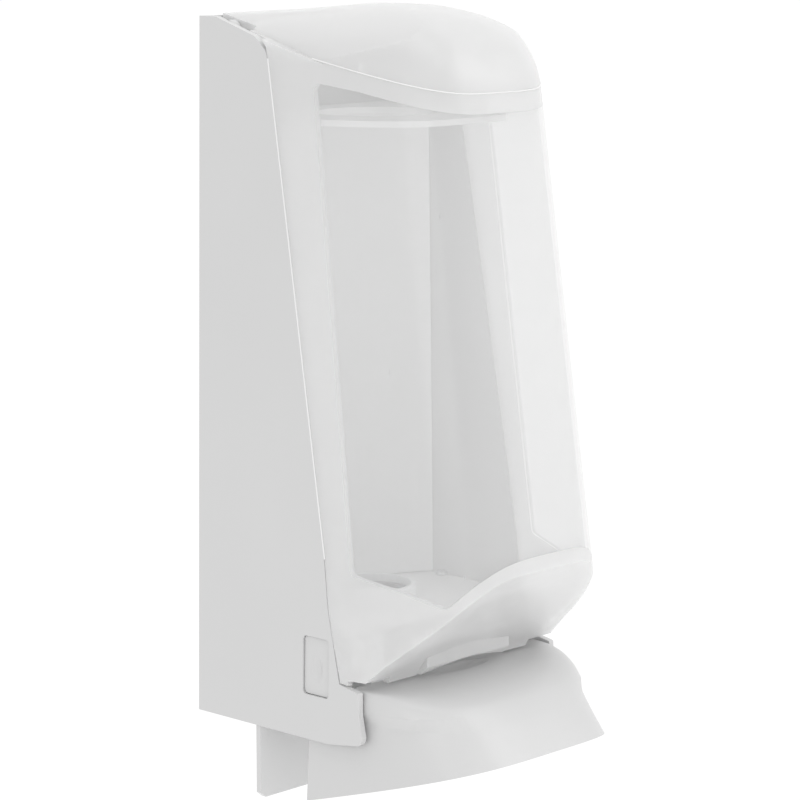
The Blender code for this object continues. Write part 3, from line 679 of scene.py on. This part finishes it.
def moulded_plastic(name, colour, roughness, grain=0.10, grain_scale=2400.0, coat=0.0, opacity=1.0):
    """Injection moulded plastic: spark-eroded grain, faint flow marks, handling scuffs, and lighter
    edges that are partly wear and partly a painted highlight.
    """
    material, tree, shader, coords = start_finish(name)
    colour = tuple(colour)
    cloud = noise(tree, coords, 9.0, 4.0, 0.55)
    flow = noise(tree, coords, 30.0, 3.0, 0.5, (1.0, 1.0, 0.22))
    dim = tuple(c * 0.985 for c in colour)
    bright = tuple(min(c * 1.008, 1.0) for c in colour)
    tone = mixed(tree, ranged(tree, cloud, 0.0, 1.0), dim, bright)
    streaked = mixed(tree, ranged(tree, flow, 0.0, 0.15), tone, tuple(c * 0.95 for c in colour))
    # Convex edges, found by pointiness and broken up in patches, are mixed towards a lighter colour:
    # partly handling wear, partly a painted highlight along the edges.
    geometry = add_node(tree, "ShaderNodeNewGeometry")
    edge = ranged(tree, geometry.outputs["Pointiness"], 0.0, 0.4, 0.54, 0.66)
    patchy = ranged(tree, noise(tree, coords, 150.0, 4.0, 0.6), 0.0, 1.0, 0.42, 0.62)
    wear_and_highlight = multiplied(tree, edge, patchy)
    final = mixed(tree, wear_and_highlight, streaked, tuple(min(c * 1.06 + 0.02, 1.0) for c in colour))
    tree.links.new(final, shader.inputs["Base Color"])
    scuff = noise(tree, coords, 240.0, 3.0, 0.5, (1.0, 1.0, 0.12))
    matt = ranged(tree, scuff, roughness - 0.02, roughness + 0.05, 0.30, 0.75)
    tree.links.new(matt, shader.inputs["Roughness"])
    grainy = bumped(tree, noise(tree, coords, grain_scale, 2.0, 0.6), grain, 0.05 * MM)
    sink = bumped(tree, noise(tree, coords, 24.0, 2.0, 0.4), 0.05, 0.8 * MM, grainy)
    tree.links.new(sink, shader.inputs["Normal"])
    shader.inputs["IOR"].default_value = 1.49
    shader.inputs["Coat Weight"].default_value = coat
    shader.inputs["Coat Roughness"].default_value = 0.12
    shader.inputs["Alpha"].default_value = opacity
    return material


def make_milky_with_painted_glow(material, glow):
    """Lets light spread inside the plastic, and adds a painted glow: a constant white emission that
    lifts the shaded parts of the cover, such as the chin under the hood.
    """
    inputs = material.node_tree.nodes["Principled BSDF"].inputs
    inputs["Subsurface Weight"].default_value = 0.5
    inputs["Subsurface Radius"].default_value = (1.0, 1.0, 1.0)
    inputs["Subsurface Scale"].default_value = 6.0 * MM
    # Painted glow: a constant white emission that brightens the whole cover and lifts its shaded chin.
    inputs["Emission Color"].default_value = (1.0, 1.0, 1.0, 1.0)
    inputs["Emission Strength"].default_value = glow


def hazy_plastic(name, colour, opacity, roughness):
    """See-through window plastic with a milky haze, fine scratches and slight waviness."""
    material, tree, shader, coords = start_finish(name)
    colour = tuple(colour)
    cloud = noise(tree, coords, 14.0, 3.0, 0.5, (1.0, 1.0, 0.4))
    tone = mixed(tree, ranged(tree, cloud, 0.0, 1.0), tuple(c * 0.97 for c in colour), colour)
    tree.links.new(tone, shader.inputs["Base Color"])
    scratch = noise(tree, coords, 700.0, 3.0, 0.7, (1.0, 1.0, 0.05))
    matt = ranged(tree, scratch, roughness, roughness + 0.14, 0.52, 0.75)
    tree.links.new(matt, shader.inputs["Roughness"])
    wave = bumped(tree, noise(tree, coords, 18.0, 2.0, 0.4), 0.06, 1.0 * MM)
    fine = bumped(tree, noise(tree, coords, 1800.0, 2.0, 0.5), 0.02, 0.03 * MM, wave)
    tree.links.new(fine, shader.inputs["Normal"])
    shader.inputs["Alpha"].default_value = opacity
    shader.inputs["IOR"].default_value = 1.57
    shader.inputs["Specular IOR Level"].default_value = 0.9
    return material


def soft_rubber(name, colour):
    """Black rubber with a fine bloom and a dry surface."""
    material, tree, shader, coords = start_finish(name)
    colour = tuple(colour)
    bloom = ranged(tree, noise(tree, coords, 420.0, 4.0, 0.6), 0.0, 1.0, 0.45, 0.7)
    tone = mixed(tree, bloom, colour, tuple(c * 1.6 + 0.02 for c in colour))
    tree.links.new(tone, shader.inputs["Base Color"])
    matt = ranged(tree, noise(tree, coords, 900.0, 2.0, 0.5), 0.62, 0.85)
    tree.links.new(matt, shader.inputs["Roughness"])
    skin = bumped(tree, noise(tree, coords, 2200.0, 2.0, 0.6), 0.25, 0.05 * MM)
    tree.links.new(skin, shader.inputs["Normal"])
    shader.inputs["Sheen Weight"].default_value = 0.15
    return material


def spring_steel(name, colour, stretch=(1.0, 1.0, 1.0)):
    """Bright drawn and turned steel with fine tool lines."""
    material, tree, shader, coords = start_finish(name)
    colour = tuple(colour)
    cloud = ranged(tree, noise(tree, coords, 320.0, 4.0, 0.6, stretch), 0.0, 1.0)
    tone = mixed(tree, cloud, tuple(c * 0.86 for c in colour), colour)
    tree.links.new(tone, shader.inputs["Base Color"])
    matt = ranged(tree, noise(tree, coords, 1500.0, 3.0, 0.6, stretch), 0.22, 0.42)
    tree.links.new(matt, shader.inputs["Roughness"])
    lines = bumped(tree, noise(tree, coords, 2600.0, 2.0, 0.6, stretch), 0.12, 0.03 * MM)
    tree.links.new(lines, shader.inputs["Normal"])
    shader.inputs["Metallic"].default_value = 1.0
    return material


FINISHES = {}


def finish_for(key):
    """The finish of that name, made once from the colours in the panel."""
    if key in FINISHES:
        return FINISHES[key]
    look = bpy.context.scene.dispenser_finish
    if key == "shell":
        made = moulded_plastic("moulded_shell", look.shell_colour, look.gloss, 0.10)
    elif key == "cover":
        rough = look.gloss - 0.04
        made = moulded_plastic(
            "moulded_cover", look.cover_colour, rough, 0.05, coat=0.1, opacity=look.cover_opacity
        )
        # Subsurface spread, plus a painted glow that lifts the cover's shaded parts.
        make_milky_with_painted_glow(made, look.cover_painted_glow)
    # The edge finish is a lighter plastic that paints the highlight lines along the seam and the cap's
    # crease.
    elif key == "edge":
        made = moulded_plastic("bright_edge", look.highlight_edge_colour, look.gloss, 0.05)
    elif key == "lever":
        made = moulded_plastic("moulded_lever", look.lever_colour, look.gloss - 0.02, 0.06, coat=0.1)
    elif key == "window":
        made = hazy_plastic("hazy_window", look.window_colour, look.window_opacity, 0.14)
    elif key == "inner":
        made = moulded_plastic("inner_plastic", look.inner_colour, 0.5, 0.22, 1500.0)
    elif key == "pump":
        made = moulded_plastic("pump_plastic", look.pump_colour, 0.3, 0.04, coat=0.1)
    elif key == "rubber":
        made = soft_rubber("black_rubber", look.rubber_colour)
    else:
        made = spring_steel("bright_steel", look.steel_colour)
    FINISHES[key] = made
    return made


# Settings


class DispenserSizes(bpy.types.PropertyGroup):
    """Sizes that a maker would change without touching the frame."""

    cover_skin: FloatProperty(
        name="Cover skin",
        description="Wall thickness of the cover's frame",
        default=2.8 * MM,
        min=1.5 * MM,
        max=4.0 * MM,
        precision=4,
        subtype="DISTANCE",
        unit="LENGTH",
    )
    window_skin: FloatProperty(
        name="Window skin",
        description="Thickness of the window",
        default=2.2 * MM,
        min=1.2 * MM,
        max=3.0 * MM,
        precision=4,
        subtype="DISTANCE",
        unit="LENGTH",
    )
    hood_skin: FloatProperty(
        name="Hood skin",
        description="Wall thickness of the lever's hood",
        default=2.4 * MM,
        min=1.5 * MM,
        max=3.5 * MM,
        precision=4,
        subtype="DISTANCE",
        unit="LENGTH",
    )
    edge_round: FloatProperty(
        name="Edge rounding",
        description="Radius on the moulded edges",
        default=0.55 * MM,
        min=0.1 * MM,
        max=1.2 * MM,
        precision=5,
        subtype="DISTANCE",
        unit="LENGTH",
    )


def colour_property(name, description, default):
    return FloatVectorProperty(
        name=name,
        description=description,
        default=default,
        min=0.0,
        max=1.0,
        size=3,
        subtype="COLOR",
    )


class DispenserFinish(bpy.types.PropertyGroup):
    """Colours and gloss of the plastics, rubber and steel."""

    shell_colour: colour_property("Shell", "Housing, shield and buttons", (0.555, 0.555, 0.555))
    cover_colour: colour_property("Cover", "Plastic of the cover's frame", (0.60, 0.60, 0.60))
    # Lighter colour that paints the highlight lines along the seam and the cap's crease.
    highlight_edge_colour: colour_property("Edge", "Bright rear edge of the cover", (0.74, 0.74, 0.74))
    lever_colour: colour_property("Lever", "Plastic of the lever's hood", (0.545, 0.545, 0.545))
    window_colour: colour_property("Window", "Haze of the window", (0.79, 0.79, 0.79))
    inner_colour: colour_property("Inside", "Plastic of the shelf, cradle and guide", (0.82, 0.82, 0.82))
    pump_colour: colour_property("Pump", "Plastic of the pump and the neck collar", (0.80, 0.81, 0.82))
    rubber_colour: colour_property("Rubber", "Seals, valves and the lever's nose", (0.03, 0.03, 0.033))
    steel_colour: colour_property("Steel", "Pins, screws and springs", (0.62, 0.63, 0.64))
    gloss: FloatProperty(
        name="Roughness",
        description="Base roughness of the outer plastics",
        default=0.36,
        min=0.1,
        max=0.8,
        subtype="FACTOR",
    )
    # Painted glow: the strength of a constant emission on the cover that lifts its shaded parts, such as
    # the chin under the hood.
    cover_painted_glow: FloatProperty(
        name="Cover glow",
        description="Light that the milky plastic of the cover carries inside itself",
        default=0.12,
        min=0.0,
        max=1.0,
    )
    cover_opacity: FloatProperty(
        name="Cover haze",
        description="How much each surface of the frosted cover frame hides what is behind it",
        default=0.66,
        min=0.05,
        max=1.0,
        subtype="FACTOR",
    )
    window_opacity: FloatProperty(
        name="Window haze",
        description="How much each surface of the window hides what is behind it",
        default=0.32,
        min=0.05,
        max=1.0,
        subtype="FACTOR",
    )


class DispenserStage(bpy.types.PropertyGroup):
    """Floor, lights and camera."""

    floor_drop: FloatProperty(
        name="Floor below",
        description="Height of the dispenser above the floor",
        default=1.1,
        min=0.4,
        max=2.0,
        subtype="DISTANCE",
        unit="LENGTH",
    )
    sky: FloatProperty(
        name="Room light",
        description="Strength of the even light all round",
        default=1.08,
        min=0.0,
        max=3.0,
    )
    key_power: FloatProperty(
        name="Key light",
        description="Power of the large soft light at the upper right",
        default=13.0,
        min=0.0,
        max=200.0,
    )


# Pieces


class DISPENSER_OT_housing(bpy.types.Operator):
    """Build the back housing with its hinge ears, button windows and screw holes"""

    bl_idname = "dispenser.housing"
    bl_label = "Housing"

    def execute(self, context):
        sizes = context.scene.dispenser_sizes
        body = side_block(
            "housing_shell", housing_outline(), lambda up: -half_width(up), half_width
        )
        hollow = in_mm(((4, 2.5), (34, 2.5), (34, -9), (130, -9), (130, 330), (4, 330)))

        def inner_side(up):
            return half_width(up) - WALL

        combine(body, side_block("room", hollow, lambda up: -inner_side(up), inner_side))
        swing = box("swing_room", (-50.8 * MM, 50.8 * MM), (2.5 * MM, 8 * MM), (289 * MM, 310 * MM))
        combine(body, swing)
        for side, _word in SIDES:
            self.add_ear(body, side)
            self.cut_button(body, side)
            for up in (22 * MM, 276 * MM):
                self.cut_screw_hole(body, side, up)
            self.add_rests(body, side)
        soften_edges(body, sizes.edge_round)
        install(body, "base", "shell_plastic", finish_for("shell"), "housing")
        return {"FINISHED"}

    def add_ear(self, body, side):
        start = at(side * (HINGE_HALF + GAP * 2), HINGE_OUT, HINGE_UP)
        combine(body, rod("ear", start, (side, 0, 0), 6 * MM, 5 * MM), "UNION")
        start = at(side * 45 * MM, HINGE_OUT, HINGE_UP)
        combine(body, rod("ear_hole", start, (side, 0, 0), 11.6 * MM, HINGE_PIN_R + 0.3 * MM, 32))

    def cut_button(self, body, side):
        line = button_outline(BUTTON_GAP, 2 * MM)
        combine(body, side_block("button_hole", line, side * 50 * MM, side * 70 * MM))

    def cut_screw_hole(self, body, side, up):
        start = at(side * 38 * MM, -2 * MM, up)
        combine(body, rod("screw_hole", start, (0, -1, 0), 9 * MM, 2.6 * MM))
        start = at(side * 38 * MM, BACK - 0.8 * MM, up)
        combine(body, rod("head_seat", start, (0, -1, 0), 4 * MM, 5.2 * MM))

    def add_rests(self, body, side):
        low = SHELF_UP - SHELF_THICK - 6 * MM
        high = SHELF_UP - SHELF_THICK - GAP
        rest = box("rest", (side * 53 * MM, side * 61 * MM), (BACK - MM, 44 * MM), (low, high))
        combine(body, rest, "UNION")
        pilot = rod("pilot", at(side * 56.3 * MM, 35 * MM, SHELF_UP), (0, 0, -1), 8 * MM, 1.6 * MM)
        combine(body, pilot)
        lug = box("lug", (side * 40 * MM, side * 50 * MM), (24 * MM, FLOOR_OUT), (MM, 12 * MM))
        combine(body, lug, "UNION")
        start = at(side * 45 * MM, SHIELD_OUT - 9 * MM, SHIELD_BOLT_UP)
        combine(body, rod("bolt_hole", start, (0, -1, 0), 12 * MM, 1.6 * MM))


class DISPENSER_OT_cover(bpy.types.Operator):
    """Build the cover's frame with its dome, side bands, chin and hinge barrel"""

    bl_idname = "dispenser.cover"
    bl_label = "Cover frame"

    def execute(self, context):
        sizes = context.scene.dispenser_sizes
        skin = sizes.cover_skin
        body = self.carved("cover_shell", 0.0, 6.5 * MM)
        combine(body, self.carved("room", skin, -12 * MM))
        lip = rounded_mm(
            (
                (93, 26.2, 0), (98.5, 26.2, 1.5), (102.5, 30, 2), (102.5, 38, 1.5), (98, 41, 1.5),
                (93, 41, 0),
            )
        )
        combine(body, side_block("lip", lip, -LIP_HALF, LIP_HALF), "UNION")
        start = at(-HINGE_HALF, HINGE_OUT, HINGE_UP)
        combine(body, rod("barrel", start, (1, 0, 0), 2 * HINGE_HALF, BARREL_R), "UNION")
        combine(body, box("below", (-80 * MM, 80 * MM), (60 * MM, 140 * MM), (0, CHIN_UP)))
        for side, _word in SIDES:
            self.clear_side(body, side)
        combine(body, side_block("opening", pane_outline(), -80 * MM, 80 * MM))
        start = at(0, 120 * MM, CHIN_UP - 92.5 * MM)
        combine(body, rod("arch", start, (0, 1, 0), 40 * MM, 96.5 * MM, 160))
        soften_edges(body, sizes.edge_round * 0.8)
        install(body, "cover", "cover_plastic", finish_for("cover"), "cover_frame")
        # Thin strips along the seam and a bead on the cap's crease, in the lighter finish that paints
        # their highlight lines.
        for side, word in SIDES:
            self.add_highlight_edge(side, word, sizes)
        self.add_highlight_bead()
        return {"FINISHED"}

    def add_highlight_bead(self):
        """A fine bead on the line where the cap meets the front and the side bands, in a lighter plastic
        that paints the highlight along that crease.
        """
        rings = []
        steps = 148
        for i in range(steps + 1):
            share = 0.165 + 0.67 * i / steps
            up = 276 * MM
            for _ in range(30):
                place = cover_place(up, share)
                up = 0.5 * up + 0.5 * (LEDGE_UP - BEAD_LEAN * (-place.y - LEDGE_OUT))
            ahead = cover_place(up, share + 0.002) - place
            outward = ahead.cross(Vector((0, 0, 1))).normalized()
            ring = []
            for k in range(10):
                turn = 2 * math.pi * k / 10
                spoke = outward * math.cos(turn) + Vector((0, 0, math.sin(turn)))
                ring.append(place + spoke * BEAD_R)
            rings.append(ring)
        bead = loft("cap_bead", rings)
        bead.data.shade_smooth()
        install(bead, "cover", "cover_plastic", finish_for("edge"))

    def add_highlight_edge(self, side, word, sizes):
        """A strip on the edge of the cover's side wall along the seam, in a lighter plastic that paints
        the highlight line along it.
        """
        low, high = 79 * MM, 285.5 * MM
        near, far = 0.08 * MM, 0.75 * MM
        line = [
            Vector((seam_out(low) + near, low)),
            Vector((seam_out(low) + far, low)),
            Vector((seam_out(high) + far, high)),
            Vector((seam_out(high) + near, high)),
        ]

        def inner(up):
            return side * (half_width(up) - 1.2 * MM)

        def outer(up):
            return side * (half_width(up) + 0.1 * MM)

        strip = side_block(f"cover_edge_{word}", line, inner, outer)
        soften_edges(strip, sizes.edge_round * 0.2, segments=2)
        install(strip, "cover", "cover_plastic", finish_for("edge"))

    def carved(self, name, inset, back):
        """The cover's solid, cut to the dome and the dished chin, all inset by a skin."""
        body = cover_body(name, inset, back)
        combine(body, dome("vault", inset), "INTERSECT")
        return combine(body, chin_tool(inset))

    def clear_side(self, body, side):
        outer = side * 80 * MM

        def wall(up):
            return side * (half_width(up) - WALL - GAP)

        combine(body, side_block("clear", seam_clearance(), wall, outer))
        notch = (side * (HINGE_HALF + GAP), outer)
        combine(body, box("notch", notch, (0, 27 * MM), (280 * MM, 320 * MM)))
        start = at(side * 60 * MM, HINGE_OUT, HINGE_UP)
        combine(body, rod("bore", start, (-side, 0, 0), 24 * MM, HINGE_PIN_R + 0.3 * MM, 32))
        slot = (side * 44 * MM, side * 70 * MM)
        combine(body, box("slot", slot, (90 * MM, 110 * MM), (20 * MM, 29 * MM)))


class DISPENSER_OT_window(bpy.types.Operator):
    """Build the hazy window that wraps round the front of the cover"""

    bl_idname = "dispenser.window"
    bl_label = "Window"

    def execute(self, context):
        sizes = context.scene.dispenser_sizes
        pane = cover_body("window_pane", 0, 20 * MM)
        combine(pane, cover_body("pane_room", sizes.window_skin, -12 * MM))
        opening = side_block("opening", grown(pane_outline(), -0.05 * MM), -80 * MM, 80 * MM)
        combine(pane, opening, "INTERSECT")
        soften_edges(pane, sizes.edge_round * 0.5, segments=2)
        install(pane, "cover", "clear_plastic", finish_for("window"), "cover_window")
        return {"FINISHED"}


class DISPENSER_OT_lever(bpy.types.Operator):
    """Build the push lever's wide hood"""

    bl_idname = "dispenser.lever"
    bl_label = "Lever hood"

    def execute(self, context):
        sizes = context.scene.dispenser_sizes
        hood = hood_skin("lever_hood", 0)
        combine(hood, hood_skin("room", sizes.hood_skin))
        near, far = -20 * MM, 220 * MM
        below = [(near, rim_height(near)), (far, rim_height(far)), (far, -90 * MM), (near, -90 * MM)]
        line = [Vector(p) for p in below]
        combine(hood, side_block("rim", line, -90 * MM, 90 * MM))
        wide = (-90 * MM, 90 * MM)
        combine(hood, box("behind", wide, (0, HOOD_REAR), (-90 * MM, 60 * MM)))
        combine(hood, box("upper", wide, (0, 89.4 * MM), (14 * MM, 60 * MM)))
        dip = ellipsoid("dip", at(0, 97 * MM, 31 * MM), (30 * MM, 9 * MM, 7.6 * MM))
        combine(hood, dip)
        soften_edges(hood, sizes.edge_round)
        install(hood, "lever", "lever_plastic", finish_for("lever"), "push_lever")
        return {"FINISHED"}


class DISPENSER_OT_shield(bpy.types.Operator):
    """Build the rear shield below the housing"""

    bl_idname = "dispenser.shield"
    bl_label = "Rear shield"

    def execute(self, context):
        sizes = context.scene.dispenser_sizes
        edge = HALF_LOW / MM - 1.6
        low = SHIELD_LOW / MM
        half = in_mm(((52, 12), (55, -0.6), (edge, -0.6), (edge, low + 2.4), (edge - 3, low)))
        line = half + [Vector((-p.x, p.y)) for p in half[::-1]]
        plate = front_block("shield_plate", line, SHIELD_OUT, SHIELD_OUT + SHIELD_THICK)
        for side, _word in SIDES:
            for x, up, radius in ((45, SHIELD_BOLT_UP, 1.9), (13.5, PUMP_UP, 1.5)):
                start = at(side * x * MM, 30 * MM, up)
                combine(plate, rod("hole", start, (0, -1, 0), 12 * MM, radius * MM, 32))
        soften_edges(plate, sizes.edge_round * 0.8)
        install(plate, "base", "shell_plastic", finish_for("shell"), "rear_shield")
        return {"FINISHED"}


class DISPENSER_OT_buttons(bpy.types.Operator):
    """Build the two release buttons with their thumb dents"""

    bl_idname = "dispenser.buttons"
    bl_label = "Release buttons"

    def execute(self, context):
        sizes = context.scene.dispenser_sizes
        for side, word in SIDES:
            self.one(sizes, side, word)
        return {"FINISHED"}

    def one(self, sizes, side, word):
        def face(up):
            return side * (half_width(up) - 1.0 * MM)

        def inside(up):
            return side * (half_width(up) - WALL - GAP)

        outline = button_outline(0, 1.8 * MM)
        button = side_block(f"button_{word}", outline, face, side * 57.5 * MM)
        flange_outline = button_outline(1.6 * MM, 2 * MM)
        flange = side_block("flange", flange_outline, inside, side * 57.4 * MM)
        combine(button, flange, "UNION")
        middle = at(side * 66 * MM, BUTTON_OUT, BUTTON_UP - 1 * MM)
        combine(button, ellipsoid("dent", middle, (5.6 * MM, 6.2 * MM, 10.5 * MM), 48))
        soften_edges(button, sizes.edge_round * 0.6)
        body = f"button_{word}"
        node = f"release_button_{word}"
        install(button, body, "shell_plastic", finish_for("shell"), node)


class DISPENSER_OT_inside(bpy.types.Operator):
    """Give the pieces of the frame that stay their own finishes and softened edges"""

    bl_idname = "dispenser.inside"
    bl_label = "Inner pieces"

    groups = {
        "inner": ("cradle", "upper_guide", "shelf", "lever_yoke"),
        "pump": ("pump_body", "pump_end_ring", "pump_plunger", "neck_collar", "inlet_tube", "nozzle"),
        "rubber": ("lever_pad", "plunger_seal", "collar_seal", "inlet_valve", "outlet_valve"),
        "steel": (
            "cover_hinge_pin_left", "cover_hinge_pin_right", "lever_pin_left", "lever_pin_right",
            "plunger_spring", "button_spring_left", "button_spring_right", "shelf_screw_left",
            "shelf_screw_right", "shield_screw_left", "shield_screw_right", "pump_screw_left",
            "pump_screw_right",
        ),
    }

    def execute(self, context):
        for key, names in self.groups.items():
            for name in names:
                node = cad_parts[name]
                node.data.materials.clear()
                node.data.materials.append(finish_for(key))
                node.data.shade_smooth()
                node.data.set_sharp_from_angle(angle=math.radians(40))
                if key != "steel":
                    self.soften(node)
        return {"FINISHED"}

    def soften(self, node):
        bevel = node.modifiers.new("edge rounding", "BEVEL")
        bevel.width = 0.25 * MM
        bevel.segments = 2
        bevel.limit_method = "ANGLE"
        bevel.angle_limit = math.radians(40)


class DISPENSER_OT_stage(bpy.types.Operator):
    """Set the pale floor, the soft lights and the camera"""

    bl_idname = "dispenser.stage"
    bl_label = "Stage"

    def execute(self, context):
        scene = context.scene
        stage = scene.dispenser_stage
        self.floor(stage)
        self.sky(scene, stage)
        self.light("key_light", (1.5, -1.7, 1.7), 1.6, stage.key_power)
        self.light("top_light", (-0.1, -0.35, 2.0), 1.4, stage.key_power * 0.5)
        self.light("side_light", (-1.9, -1.1, 0.5), 1.2, stage.key_power * 0.28)
        self.light("fill_light", (-0.15, -0.95, -1.0), 1.0, stage.key_power * 0.32)
        self.camera(scene)
        scene.view_settings.view_transform = "Standard"
        scene.view_settings.look = "None"
        scene.view_settings.exposure = 0.0
        scene.view_settings.gamma = 1.0
        return {"FINISHED"}

    def floor(self, stage):
        mesh = bpy.data.meshes.new("floor")
        reach = 60.0
        corners = [(-reach, -reach, 0), (reach, -reach, 0), (reach, reach, 0), (-reach, reach, 0)]
        mesh.from_pydata(corners, [], [(0, 1, 2, 3)])
        floor = bpy.data.objects.new("floor", mesh)
        floor.location.z = HOUSING_LOW.z - stage.floor_drop
        bpy.context.scene.collection.objects.link(floor)
        material, tree, shader, coords = start_finish("pale_floor")
        cloud = ranged(tree, noise(tree, coords, 3.0, 3.0), 0.0, 1.0)
        tone = mixed(tree, cloud, (0.93, 0.93, 0.93), (0.95, 0.95, 0.95))
        tree.links.new(tone, shader.inputs["Base Color"])
        shader.inputs["Roughness"].default_value = 0.9
        shader.inputs["Specular IOR Level"].default_value = 0.0
        mesh.materials.append(material)

    def sky(self, scene, stage):
        world = bpy.data.worlds.new("even_room")
        world.use_nodes = True
        ground = world.node_tree.nodes["Background"]
        ground.inputs["Color"].default_value = (1.0, 1.0, 1.0, 1.0)
        ground.inputs["Strength"].default_value = stage.sky
        scene.world = world

    def light(self, name, place, size, power):
        data = bpy.data.lights.new(name, "AREA")
        data.shape = "SQUARE"
        data.size = size
        data.energy = power
        lamp = bpy.data.objects.new(name, data)
        lamp.location = place
        lamp.rotation_mode = "QUATERNION"
        lamp.rotation_quaternion = Vector(place).to_track_quat("Z", "Y")
        bpy.context.scene.collection.objects.link(lamp)

    def camera(self, scene):
        data = bpy.data.cameras.new("camera")
        data.lens = 134.752
        data.sensor_width = 36.0
        camera = bpy.data.objects.new("camera", data)
        azimuth = math.radians(-46.64)
        elevation = math.radians(9.69)
        back = Vector(
            (
                math.sin(azimuth) * math.cos(elevation),
                -math.cos(azimuth) * math.cos(elevation),
                math.sin(elevation),
            )
        )
        camera.location = Vector((18.01, -45.0, -18.11)) * MM + back * 1318.98 * MM
        camera.rotation_mode = "QUATERNION"
        camera.rotation_quaternion = back.to_track_quat("Z", "Y")
        scene.collection.objects.link(camera)
        scene.camera = camera


class DISPENSER_PT_panel(bpy.types.Panel):
    """Settings and pieces of the dispenser"""

    bl_idname = "DISPENSER_PT_panel"
    bl_label = "Soap Dispenser"
    bl_space_type = "VIEW_3D"
    bl_region_type = "UI"
    bl_category = "Dispenser"

    def draw(self, context):
        scene = context.scene
        for title, group in (
            ("Sizes", scene.dispenser_sizes),
            ("Finish", scene.dispenser_finish),
            ("Stage", scene.dispenser_stage),
        ):
            area = self.layout.box()
            area.label(text=title)
            for key in group.__annotations__:
                area.prop(group, key)
        for operator in OPERATORS:
            self.layout.operator(operator.bl_idname)


SETTINGS = (
    ("dispenser_sizes", DispenserSizes),
    ("dispenser_finish", DispenserFinish),
    ("dispenser_stage", DispenserStage),
)
OPERATORS = (
    DISPENSER_OT_housing,
    DISPENSER_OT_cover,
    DISPENSER_OT_window,
    DISPENSER_OT_lever,
    DISPENSER_OT_shield,
    DISPENSER_OT_buttons,
    DISPENSER_OT_inside,
    DISPENSER_OT_stage,
)


def register():
    for name, group in SETTINGS:
        bpy.utils.register_class(group)
        setattr(bpy.types.Scene, name, PointerProperty(type=group))
    for operator in OPERATORS:
        bpy.utils.register_class(operator)
    bpy.utils.register_class(DISPENSER_PT_panel)


def unregister():
    bpy.utils.unregister_class(DISPENSER_PT_panel)
    for operator in reversed(OPERATORS):
        bpy.utils.unregister_class(operator)
    for name, group in reversed(SETTINGS):
        delattr(bpy.types.Scene, name)
        bpy.utils.unregister_class(group)


def main():
    register()
    bpy.ops.dispenser.housing()
    bpy.ops.dispenser.cover()
    bpy.ops.dispenser.window()
    bpy.ops.dispenser.lever()
    bpy.ops.dispenser.shield()
    bpy.ops.dispenser.buttons()
    bpy.ops.dispenser.inside()
    bpy.ops.dispenser.stage()


if __name__ == "__main__":
    main()
